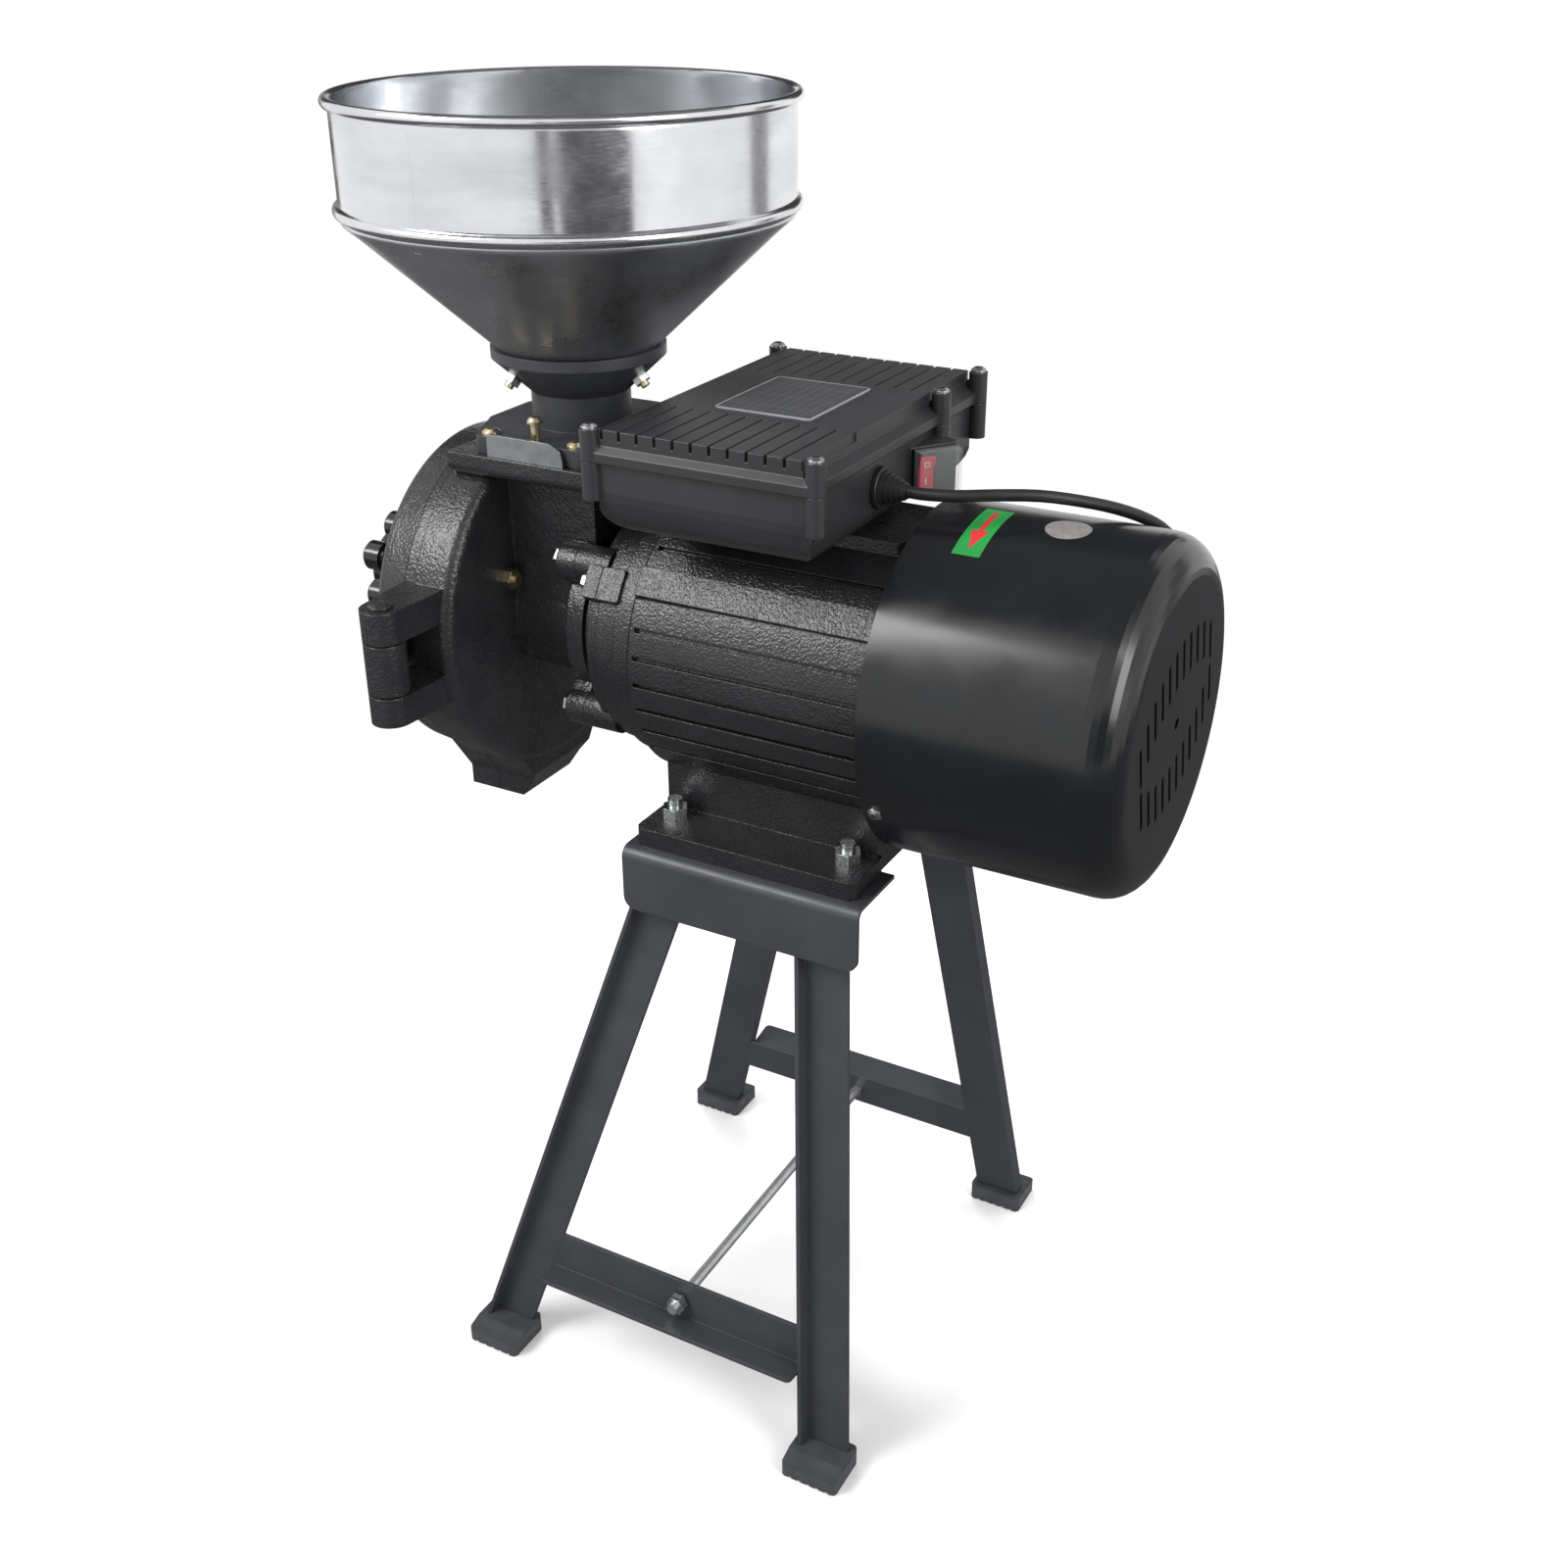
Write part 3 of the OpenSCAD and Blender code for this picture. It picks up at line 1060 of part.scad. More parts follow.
module feed_auger() color("#8f9295") place() difference() {
  union() {
    along_x(auger_x0, auger_x1 - auger_x0, 2 * auger_core_r);
    for (i = [0:auger_paddles - 1]) rotate([i * auger_step_deg, 0, 0]) {
      x = auger_x0 + i * (auger_x1 - auger_x0 - auger_paddle_t) / (auger_paddles - 1);
      block(x, x + auger_paddle_t, auger_core_r - edge_step, auger_r, -auger_paddle_t, auger_paddle_t);
    }
  }
  along_x(auger_x0 - cut, auger_x1 - auger_x0 + 2 * cut, shaft_auger_d + 2 * run_fit);
}
module thrust_screw() color("#b9bcbf") place() along_x(adjust_head_x, adjust_tip_x - adjust_head_x, adjust_d);
module knob_outline(g) {
  circle(r = knob_core_r - g);
  for (i = [1:knob_lobes]) rotate((i + 1 / 2) * 360 / knob_lobes) translate([knob_r - lobe_r, 0])
    circle(r = lobe_r - g, $fn = 48);
}
module adjusting_knob() color("#0d0d0e") place() difference() {
  union() {
    outline_x(knob_x1 - knob_l + knob_edge, knob_x1 - knob_edge) knob_outline(0);
    outline_x(knob_x1 - knob_l, knob_x1) knob_outline(knob_edge);
  }
  along_x(adjust_head_x - body_gap, -adjust_head_x, adjust_d + 2 * run_fit);
}
module lock_nut() color("#c9c9c4") place() difference() {
  translate([boss_x - lock_nut_h, 0, 0]) hex_x(lock_nut_af, lock_nut_h);
  along_x(boss_x - lock_nut_h - cut, lock_nut_h + 2 * cut, adjust_d + 2 * run_fit);
}
module shaft_seal() color("#2b2c2d") place()
  ring_x(seal_x, flange_x, shaft_auger_d / 2 + run_fit, seal_od / 2);

// Inlet plate, gate and hopper
module inlet_plate() color("#1b1d1f") place() difference() {
  union() {
    outline_z(plate_z, plate_z + plate_t) polygon(rounded([[plate_half_x, -plate_side_y],
      [plate_half_x, plate_side_y], [plate_corner_x, plate_half_y], [-plate_corner_x, plate_half_y],
      [-plate_half_x, plate_side_y],
      [-plate_half_x, -plate_side_y], [-plate_corner_x, -plate_half_y],
      [plate_corner_x, -plate_half_y]], plate_corner_r));
    rotate_extrude() polygon([[0, plate_z + cut], [throat_d / 2, plate_z + cut], [throat_d / 2, neck_z],
      [collar_d / 2, collar_z], [collar_d / 2, collar_top_z], [0, collar_top_z]]);
  }
  translate([0, 0, plate_z - cut]) cylinder(h = funnel_z0 - plate_z + 2 * cut, d = throat_bore);
  rotate_extrude() polygon([[0, funnel_z0], [throat_bore / 2, funnel_z0],
    [throat_bore / 2 + (collar_top_z + cut - funnel_z0) * cone_run, collar_top_z + cut],
    [0, collar_top_z + cut]]);
  block(-gate_w / 2 - slide_fit, gate_w / 2 + slide_fit, -plate_half_y - cut, gate_y1 + slide_fit,
    plate_z - cut, plate_z + gate_t + 2 * slide_fit);
  for (x = [-plate_screw_x, plate_screw_x]) for (y = [-plate_screw_y, plate_screw_y])
    translate([x, y, plate_z - cut]) cylinder(h = plate_t + 2 * cut, d = screw_d + 2 * run_fit);
  translate([gate_screw_x, -plate_screw_y, plate_z]) cylinder(h = plate_t + cut, d = screw_d + 2 * run_fit);
  at_hopper_bolts() translate([0, 0, -cut]) cylinder(h = collar_wall + 2 * cut, d = screw_d + 2 * run_fit);
}
module plate_screws() color("#b08a3c") place() for (x = [-plate_screw_x, plate_screw_x])
  for (y = [-plate_screw_y, plate_screw_y]) translate([x, y, plate_z + plate_t]) {
    pan_head(head_d, head_h);
    translate([0, 0, -screw_l]) cylinder(h = screw_l, d = screw_d);
  }
module gate_slide() color("#aeb1b3") place() {
  z0 = plate_z + slide_fit;
  z1 = z0 + gate_tab_h;
  block(-gate_w / 2, gate_w / 2, -gate_tab_y, gate_y1, z0, z0 + gate_t);
  outline_y(-gate_tab_y, -gate_tab_y + gate_t) polygon(concat([[-gate_w / 2, z0], [gate_w / 2, z0]],
    corner([gate_w / 2, z0], [gate_w / 2, z1], [-gate_w / 2, z1], gate_tab_r[0]),
    corner([gate_w / 2, z1], [-gate_w / 2, z1], [-gate_w / 2, z0], gate_tab_r[1])));
}
module gate_lock_screw() color("#b08a3c") place() {
  z0 = plate_z + gate_t + slide_fit + body_gap;
  z1 = plate_z + plate_t + gate_screw_out;
  translate([gate_screw_x, -plate_screw_y, z0]) cylinder(h = z1 - z0 + cut, d = screw_d);
  translate([gate_screw_x, -plate_screw_y, z1]) pan_head(small_head_d, gate_head_h);
}
module at_hopper_bolts() for (a = hopper_bolt_angles) rotate([0, 0, a])
  translate([hopper_bolt_r, 0, hopper_bolt_z]) rotate([0, -bolt_tilt, 0]) children();
module hopper() color("#c7c9cb") place() difference() {
  band_r = hopper_d / 2;
  out_r = hopper_out_d / 2;
  union() {
    rotate_extrude() polygon([[out_r - cone_sheet, cone_end_z], [out_r, cone_end_z], [band_r, cone_top_z],
      [band_r, rim_z], [band_r - hopper_sheet, rim_z], [band_r - hopper_sheet, cone_top_z + hopper_sheet]]);
    rotate_extrude() translate([band_r + cut, rim_z]) circle(r = hopper_roll_r, $fn = 32);
    rotate_extrude() intersection() {
      translate([band_r, bead_z]) circle(r = hopper_bead_r, $fn = 32);
      translate([band_r - hopper_sheet / 2, bead_z - hopper_bead_r]) square(2 * hopper_bead_r);
    }
  }
  at_hopper_bolts() translate([0, 0, collar_wall]) cylinder(h = 2 * screw_d, d = screw_d + 2 * run_fit);
}
module hopper_bolts() color("#b08a3c") place() at_hopper_bolts() {
  wall = collar_wall + cone_gap + hopper_sheet + body_gap;
  translate([0, 0, wall]) pan_head(small_head_d, small_head_h);
  translate([0, 0, -hopper_bolt_out]) cylinder(h = wall + hopper_bolt_out + cut, d = screw_d);
}
module hopper_nuts() color("#c9c9c4") place() at_hopper_bolts() difference() {
  translate([0, 0, -hopper_nut_h]) hex(hopper_nut_af, hopper_nut_h);
  translate([0, 0, -hopper_nut_h - cut]) cylinder(h = hopper_nut_h + 2 * cut, d = screw_d + 2 * run_fit);
}

// Cord, put-away hank, tie and plug
function path_dir(p, i) = let (a = p[max(i - 1, 0)], b = p[min(i + 1, len(p) - 1)]) (b - a) / norm(b - a);
function carry(v, d) = let (w = v - (v * d) * d) w / norm(w);
function side_vectors(p) = [for (i = 0, v = carry([0, 0, 1], path_dir(p, 0)); i < len(p);
  i = i + 1, v = i < len(p) ? carry(v, path_dir(p, i)) : v) v];
module tube(p, r, n) {
  side = side_vectors(p);
  rings = [for (i = [0:len(p) - 1]) let (d = path_dir(p, i), u = side[i], w = cross(d, u))
    for (k = [0:n - 1]) p[i] + r * (cos(k * 360 / n) * u + sin(k * 360 / n) * w)];
  m = len(p) - 1;
  polyhedron(points = rings, faces = concat([[for (k = [0:n - 1]) k]], [[for (k = [n - 1:-1:0]) m * n + k]],
    [for (i = [0:m - 1]) for (k = [0:n - 1]) [i * n + k, (i + 1) * n + k, i * n + (k + 1) % n]],
    [for (i = [0:m - 1]) for (k = [0:n - 1])
      [i * n + (k + 1) % n, (i + 1) * n + k, (i + 1) * n + (k + 1) % n]]));
}
module power_cord() color("#111112") place() tube(CORD_ROUTE, cord_d / 2, cord_sides);
// A point of the hank: a far run, a turn, a near run that climbs, and a turn back
function ease(f) = (1 - cos(180 * f)) / 2;
function hank_at(i) = let (part = floor(i / hank_steps) % 4, f = (i % hank_steps) / hank_steps,
    turn = floor(i / hank_steps / 4), z = hank_z + turn * hank_pitch, dip = hank_dip * ease(2 * f),
    rise = turn == hank_loops - 1 ? plug_z - hank_z - hank_loops * hank_pitch : 0)
  part == 0 ? [hank_xb + (hank_xa - hank_xb) * f, hank_y + hank_turn_r - dip, z]
  : part == 1 ? [hank_xa - hank_turn_r * sin(180 * f), hank_y + hank_turn_r * cos(180 * f), z]
  : part == 2 ? [hank_xa + (hank_xb - hank_xa) * f, hank_y - hank_turn_r + dip, z + hank_pitch * ease(f)]
  : [hank_xb + hank_turn_r * sin(180 * f), hank_y - hank_turn_r * cos(180 * f),
    z + hank_pitch + rise * ease(f)];
hank_end = 4 * hank_steps * hank_loops;
HANK_ROUTE = concat([CORD_ROUTE[len(CORD_ROUTE) - 1]], [for (i = [0:hank_end - 1]) hank_at(i)],
  [[hank_xb, plug_y, plug_z], [plug_x0 + plug_l, plug_y, plug_z]]);
echo(least_gap_in_hank = min([for (i = [0:len(HANK_ROUTE) - 1]) for (j = [i + hank_steps:1:len(HANK_ROUTE) - 1])
  norm(HANK_ROUTE[i] - HANK_ROUTE[j]) - cord_d]));
module cord_hank() color("#111112") place() tube(HANK_ROUTE, cord_d / 2, hank_sides);
module tie_outline(g) hull() {
  reach = hank_turn_r - hank_dip + tie_ease;
  for (y = [hank_y - reach, hank_y + reach]) translate([y, hank_z]) circle(r = cord_d / 2 + g);
  translate([hank_y - reach, hank_z + (hank_loops - tie_rise) * hank_pitch]) circle(r = cord_d / 2 + g);
  translate([plug_y, plug_z]) circle(r = plug_d / 2 + g);
}
module cord_tie() color("#111112") place() outline_x(tie_x, tie_x + tie_w) difference() {
  tie_outline(seat_gap + tie_t);
  tie_outline(seat_gap);
}
module power_plug() color("#111112") place() translate([0, plug_y, plug_z]) {
  along_x(plug_x0, plug_l, plug_d);
  for (s = [-1, 1]) translate([0, s * plug_pin_gap / 2, 0])
    along_x(plug_x0 - plug_pin_l, plug_pin_l + cut, plug_pin_d);
}

front_top_plate();
rear_top_plate();
front_left_leg();
front_right_leg();
rear_left_leg();
rear_right_leg();
front_crossbar();
rear_crossbar();
rubber_feet();
tie_rod();
tie_rod_nuts();
motor_frame();
front_end_shield();
rear_end_shield();
stator_core();
stator_windings();
rotor_core();
motor_shaft();
front_bearing();
rear_bearing();
cooling_fan();
fan_cover();
fan_cover_screws();
shield_bolts();
mill_flange_bolts();
foundation_bolts();
box_body();
box_lid();
lid_screws();
rating_plate();
switch_frame();
switch_rocker();
switch_cover();
start_capacitor();
run_capacitor();
terminal_block();
cable_gland();
mill_housing();
front_cover();
hinge_pin();
clamp_screw();
fixed_grinding_disc();
moving_grinding_disc();
disc_bolts();
feed_auger();
thrust_screw();
adjusting_knob();
lock_nut();
shaft_seal();
inlet_plate();
plate_screws();
gate_slide();
gate_lock_screw();
hopper();
hopper_bolts();
hopper_nuts();
power_cord();
cord_hank();
cord_tie();
power_plug();
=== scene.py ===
import bpy, bmesh, json, math
from mathutils import Matrix, Vector


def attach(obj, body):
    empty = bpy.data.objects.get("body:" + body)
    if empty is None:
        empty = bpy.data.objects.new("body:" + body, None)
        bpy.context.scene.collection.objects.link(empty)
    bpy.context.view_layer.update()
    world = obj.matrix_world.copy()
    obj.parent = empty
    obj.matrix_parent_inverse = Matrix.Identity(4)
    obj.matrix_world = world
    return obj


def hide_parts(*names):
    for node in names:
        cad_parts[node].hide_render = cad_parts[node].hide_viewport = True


# The electric grain mill's looks. Lengths in the tables are mill millimetres: x from the hopper's axis
# along the shaft, z from the shaft's axis; at() turns them into the frame's metres.
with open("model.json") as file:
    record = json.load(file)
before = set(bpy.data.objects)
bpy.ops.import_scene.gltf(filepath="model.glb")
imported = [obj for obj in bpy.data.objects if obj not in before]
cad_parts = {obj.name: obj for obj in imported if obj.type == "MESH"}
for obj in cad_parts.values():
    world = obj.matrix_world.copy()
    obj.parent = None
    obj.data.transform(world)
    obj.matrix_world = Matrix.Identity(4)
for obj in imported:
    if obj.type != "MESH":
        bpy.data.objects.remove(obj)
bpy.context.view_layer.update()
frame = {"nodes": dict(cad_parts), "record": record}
NODES = frame["nodes"]
ORIGIN_X, SHAFT_H = -124.0, 549.0
MM = 0.001
UP = (0.0, 0.0, 1.0)


def at(x, y, z):
    """A point given in mill millimetres, in the frame's metres."""
    return Vector(((x + ORIGIN_X) * MM, y * MM, (z + SHAFT_H) * MM))


# Camera, fitted to the photograph
CAMERA_AT = (690.1, -972.65, 459.72)
CAMERA_YAW, CAMERA_PITCH, CAMERA_ROLL = 28.87, -26.99, -0.25  # degrees
SENSOR_MM, LENS_MM, SHIFT_X, SHIFT_Y, SIGHT_M = 36.0, 40.71, 0.0007, -0.0012, 60.0


def make_camera():
    yaw, pitch, roll = (math.radians(a) for a in (CAMERA_YAW, CAMERA_PITCH, CAMERA_ROLL))
    fwd = Vector((-math.sin(yaw) * math.cos(pitch), math.cos(yaw) * math.cos(pitch), math.sin(pitch)))
    right = fwd.cross(Vector((0, 0, 1))).normalized()
    up = right.cross(fwd)
    r2 = math.cos(roll) * right + math.sin(roll) * up
    u2 = -math.sin(roll) * right + math.cos(roll) * up
    data = bpy.data.cameras.new("photo_camera")
    data.sensor_width, data.lens, data.clip_end = SENSOR_MM, LENS_MM, SIGHT_M
    data.shift_x, data.shift_y = SHIFT_X, SHIFT_Y
    cam = bpy.data.objects.new("photo_camera", data)
    rows = Matrix((r2, u2, -fwd)).transposed().to_4x4()
    rows.translation = at(*CAMERA_AT)
    cam.matrix_world = rows
    bpy.context.scene.collection.objects.link(cam)
    bpy.context.scene.camera = cam


make_camera()


# Meshes
def add_mesh(name, verts, faces, smooth=True):
    """A new object at the origin, with doubled points merged and its faces turned outward."""
    mesh = bpy.data.meshes.new(name)
    mesh.from_pydata([tuple(v) for v in verts], [], faces)
    bm = bmesh.new()
    bm.from_mesh(mesh)
    bmesh.ops.remove_doubles(bm, verts=bm.verts, dist=1e-6)
    bmesh.ops.recalc_face_normals(bm, faces=bm.faces)
    bm.to_mesh(mesh)
    bm.free()
    for p in mesh.polygons:
        p.use_smooth = smooth
    obj = bpy.data.objects.new(name, mesh)
    bpy.context.scene.collection.objects.link(obj)
    return obj


def sharpen(obj, degrees):
    """Edges folded by more than this many degrees stay sharp."""
    obj.data.set_sharp_from_angle(angle=math.radians(degrees))


def revolve(profile, segments, place):
    """Verts and faces of a closed profile of (radius, height) turned round place's local Z."""
    verts, faces, n = [], [], len(profile)
    for i in range(segments):
        a = 2 * math.pi * i / segments
        verts += [place(r * math.cos(a), r * math.sin(a), h) for r, h in profile]
    for i in range(segments):
        j = (i + 1) % segments
        for k in range(n):
            m = (k + 1) % n
            faces.append((i * n + k, j * n + k, j * n + m, i * n + m))
    return verts, faces


def arc(cx, cy, r, a0, a1, n):
    """n + 1 points of a circle, from angle a0 to a1 in degrees."""
    return [(cx + r * math.cos(math.radians(a0 + (a1 - a0) * i / n)),
             cy + r * math.sin(math.radians(a0 + (a1 - a0) * i / n))) for i in range(n + 1)]


def smooth_path(points, per):
    """A curve through the points, with per steps between two of them."""
    ends = [2 * points[0] - points[1]] + list(points) + [2 * points[-1] - points[-2]]
    out = []
    for p0, p1, p2, p3 in zip(ends, ends[1:], ends[2:], ends[3:]):
        a, b, c = (math.sqrt((q - p).length) for p, q in ((p0, p1), (p1, p2), (p2, p3)))
        t1 = b * ((p1 - p0) / a - (p2 - p0) / (a + b) + (p2 - p1) / b)
        t2 = b * ((p2 - p1) / b - (p3 - p1) / (b + c) + (p3 - p2) / c)
        for k in range(per):
            t = k / per
            out.append((2 * t ** 3 - 3 * t * t + 1) * p1 + (t ** 3 - 2 * t * t + t) * t1
                       + (3 * t * t - 2 * t ** 3) * p2 + (t ** 3 - t * t) * t2)
    return out + [points[-1]]


def tube(path, radii, sides):
    """A closed round tube along path; radii is one number or one for each point."""
    n = len(path)
    radii = radii if isinstance(radii, list) else [radii] * n
    side, verts, faces = None, [], []
    for i, p in enumerate(path):
        d = (path[min(i + 1, n - 1)] - path[max(i - 1, 0)]).normalized()
        side = (Vector((0, 0, 1)) if side is None else side)
        side = (side - side.dot(d) * d).normalized()
        up = d.cross(side)
        verts += [p + radii[i] * (math.cos(2 * math.pi * k / sides) * side
                                  + math.sin(2 * math.pi * k / sides) * up) for k in range(sides)]
    for i in range(n - 1):
        for k in range(sides):
            m = (k + 1) % sides
            faces.append((i * sides + k, (i + 1) * sides + k, (i + 1) * sides + m, i * sides + m))
    faces.append(tuple(range(sides)))
    faces.append(tuple((n - 1) * sides + k for k in reversed(range(sides))))
    return verts, faces


# Materials: procedural, in Object coordinates, with their sizes in real millimetres
MATH, NOISE, RANGE, MIX, BUMP, JOIN, SPLIT, WAVE, GLOSS, OUTPUT = (
    "ShaderNodeMath", "ShaderNodeTexNoise", "ShaderNodeMapRange", "ShaderNodeMix", "ShaderNodeBump",
    "ShaderNodeCombineXYZ", "ShaderNodeSeparateXYZ", "ShaderNodeTexWave", "ShaderNodeBsdfPrincipled",
    "ShaderNodeOutputMaterial")
PER_M = 1000.0  # a texture's scale is this over its size in mm
BROKEN = {"Roughness": 0.55}  # how broken up every noise is
SPAN = {"From Min": 0.3, "From Max": 0.7}  # most of a noise's values lie in here
COAT_ROUGH = 0.12
BEAD_Z = 276.0  # height of the hopper's bead over the shaft
CONE_DULL, BAND_BRIGHT = (BEAD_Z - 3.0 + SHAFT_H) * MM, (BEAD_Z + 1.0 + SHAFT_H) * MM
WAVE_TURN = 0.31  # a wave texture's scale for one turn per unit


def lin(code):
    """A linear colour from an sRGB hex code."""
    parts = [int(code[i:i + 2], 16) / 255 for i in (1, 3, 5)]
    return tuple(c / 12.92 if c <= 0.04045 else ((c + 0.055) / 1.055) ** 2.4 for c in parts) + (1.0,)


def node(tree, kind, inputs=(), out=0, **settings):
    """Adds a node with its settings, constants and links, and gives one of its outputs."""
    n = tree.nodes.new(kind)
    for key, value in settings.items():
        setattr(n, key, value)
    for key, value in dict(inputs).items():
        if isinstance(value, bpy.types.NodeSocket):
            tree.links.new(value, n.inputs[key])
        else:
            n.inputs[key].default_value = value
    return n.outputs[out] if n.outputs else n


def new_material(name):
    """A material with an empty node tree, and the tree."""
    mat = bpy.data.materials.new(name)
    mat.use_nodes = True
    mat.node_tree.nodes.clear()
    return mat, mat.node_tree


def surface(name, colour, second, rough, bumps=(), metal=0.0, edge_mm=0.0, patch_mm=25.0, stretch=None,
            spec=0.5, coat=0.0, pattern=None):
    """colour and second are mixed by a cloudy noise; rough is the lowest and highest roughness; bumps are
    (size in mm, height in mm, detail); edge_mm rounds the edges for the light; pattern adds its own."""
    mat, t = new_material(name)
    coord = node(t, "ShaderNodeTexCoord", out="Object")
    grain = node(t, "ShaderNodeMapping", {"Vector": coord, "Scale": stretch}) if stretch else coord
    cloud = node(t, NOISE, {"Vector": coord, "Scale": PER_M / patch_mm, "Detail": 4.0, **BROKEN})
    share = node(t, RANGE, {"Value": cloud, **SPAN})
    base = node(t, MIX, {0: share, 6: lin(colour), 7: lin(second)}, 2, data_type="RGBA")
    wear = node(t, NOISE, {"Vector": grain, "Scale": PER_M / (patch_mm * 0.4), "Detail": 5.0, **BROKEN})
    level = node(t, RANGE, {"Value": wear, **SPAN, "To Min": rough[0], "To Max": rough[1]})
    if edge_mm:
        normal = node(t, "ShaderNodeBevel", {"Radius": edge_mm * MM}, samples=6)
    else:
        normal = node(t, "ShaderNodeNewGeometry", out="Normal")
    if pattern:
        base, level, normal = pattern(t, coord, base, level, normal)
    for size, height, detail in bumps:
        relief = node(t, NOISE, {"Vector": grain, "Scale": PER_M / size, "Detail": detail, **BROKEN})
        normal = node(t, BUMP, {"Height": relief, "Distance": height * MM, "Normal": normal})
    shader = node(t, GLOSS, {"Base Color": base, "Metallic": metal, "Roughness": level, "Normal": normal,
                             "Specular IOR Level": spec, "Coat Weight": coat, "Coat Roughness": COAT_ROUGH})
    node(t, OUTPUT, {"Surface": shader})
    return mat


def polished_band(t, coord, base, level, normal):
    """Spun stainless sheet: fine lines round the hopper, a few broader ones, and a hazy film in patches."""
    x, y, z = node(t, SPLIT, {"Vector": coord}).node.outputs
    x = node(t, MATH, {0: x, 1: ORIGIN_X * MM}, operation="SUBTRACT")
    angle = node(t, MATH, {0: y, 1: x}, operation="ARCTAN2")
    drift = node(t, MATH, {0: angle, 1: 0.02}, operation="MULTIPLY")
    sway = node(t, MATH, {0: angle, 1: 0.012}, operation="MULTIPLY")
    low = node(t, MATH, {0: z, 1: 0.35}, operation="MULTIPLY")
    fine = node(t, JOIN, {"X": drift, "Z": z})
    broad = node(t, JOIN, {"X": sway, "Z": low})
    lines = node(t, NOISE, {"Vector": fine, "Scale": PER_M / 0.9, "Detail": 6.0, **BROKEN})
    sweep = node(t, NOISE, {"Vector": broad, "Scale": PER_M / 9.0, "Detail": 4.0, **BROKEN})
    # the last one makes the cone below the bead duller than the polished band
    for value, span, least, most in ((lines, SPAN, -0.03, 0.07), (sweep, SPAN, -0.03, 0.05),
                                     (z, {"From Min": CONE_DULL, "From Max": BAND_BRIGHT}, 0.14, 0.0)):
        more = node(t, RANGE, {"Value": value, **span, "To Min": least, "To Max": most})
        level = node(t, MATH, {0: level, 1: more}, operation="ADD")
    film = node(t, RANGE, {"Value": sweep, **SPAN, "To Max": 0.5})
    base = node(t, MIX, {0: film, 6: base, 7: lin("#b9bcc0")}, 2, data_type="RGBA")
    for value, depth in ((sweep, 0.03), (lines, 0.006)):
        normal = node(t, BUMP, {"Height": value, "Distance": depth * MM, "Normal": normal})
    return base, level, normal


def laminated(t, coord, base, level, normal):
    """Stacked sheets along the shaft."""
    wave = node(t, WAVE, {"Vector": coord, "Scale": 300.0, "Distortion": 0.3}, "Fac", bands_direction="X")
    base = node(t, MIX, {0: wave, 6: base, 7: lin("#5e6163")}, 2, data_type="RGBA")
    return base, level, node(t, BUMP, {"Height": wave, "Distance": 0.1 * MM, "Normal": normal})


def wound_wire(t, coord, base, level, normal):
    """Copper wires lying side by side round the bore, with painted shade in the gaps between them."""
    x, y, z = node(t, SPLIT, {"Vector": coord}).node.outputs
    up = node(t, MATH, {0: z, 1: SHAFT_H * MM}, operation="SUBTRACT")
    radius = node(t, "ShaderNodeVectorMath", {0: node(t, JOIN, {"X": y, "Y": up})}, "Value",
                  operation="LENGTH")
    flat = node(t, JOIN, {"X": x, "Y": radius})
    wave = node(t, WAVE, {"Vector": flat, "Scale": 250.0, "Distortion": 1.5}, "Fac",
                bands_direction="DIAGONAL")
    # painted shade: dark brown where the wire pattern dips, in the gaps between the strands
    base = node(t, MIX, {0: wave, 6: lin("#5a2a12"), 7: base}, 2, data_type="RGBA")
    return base, level, node(t, BUMP, {"Height": wave, "Distance": 0.3 * MM, "Normal": normal})


def threaded(direction, pitch_mm):
    """Thread ridges along an axis, with painted shade in their grooves."""
    def pattern(t, coord, base, level, normal):
        wave = node(t, WAVE, {"Vector": coord, "Scale": WAVE_TURN * PER_M / pitch_mm}, "Fac",
                    bands_direction=direction)
        # painted shade: the colour goes up to 0.35 of the way to dark grey where the thread dips
        groove_shade = node(t, RANGE, {"Value": wave, "To Min": 0.35, "To Max": 0.0})
        base = node(t, MIX, {0: groove_shade, 6: base, 7: lin("#3a3a38")}, 2, data_type="RGBA")
        return base, level, node(t, BUMP, {"Height": wave, "Distance": 0.35 * MM, "Normal": normal})
    return pattern


def ruled_plate(t, coord, base, level, normal):
    """A blank plate: a bright frame round a dark field with thin empty rules."""
    x, y, z = node(t, SPLIT, {"Vector": coord}).node.outputs
    plate_x, half_rule = (163 + ORIGIN_X) * MM, 0.22 * MM
    inside, rules = [], []
    for value, middle, half in ((x, plate_x, 32.9), (y, 0.0, 40.9), (x, plate_x, 28.0)):
        off = node(t, MATH, {0: value, 1: middle}, operation="SUBTRACT")
        off = node(t, MATH, {0: off}, operation="ABSOLUTE")
        inside.append(node(t, MATH, {0: off, 1: half * MM}, operation="LESS_THAN"))
    for value, gap in ((x, 3.4), (y, 12.5)):
        value = node(t, MATH, {0: value, 1: 0.5}, operation="ADD")
        value = node(t, MATH, {0: value, 1: gap * MM}, operation="PINGPONG")
        rules.append(node(t, MATH, {0: value, 1: half_rule}, operation="LESS_THAN"))
    field = node(t, MATH, {0: inside[0], 1: inside[1]}, operation="MULTIPLY")
    pale = node(t, MATH, {0: rules[0], 1: rules[1]}, operation="MAXIMUM")
    for factor in (inside[2], 0.35):
        pale = node(t, MATH, {0: pale, 1: factor}, operation="MULTIPLY")
    pale = node(t, MATH, {0: 1.0, 1: pale}, operation="SUBTRACT")
    dark = node(t, MATH, {0: field, 1: pale}, operation="MULTIPLY")
    base = node(t, MIX, {0: dark, 6: base, 7: lin("#46484b")}, 2, data_type="RGBA")
    return base, level, node(t, BUMP, {"Height": dark, "Distance": 0.05 * MM, "Normal": normal})


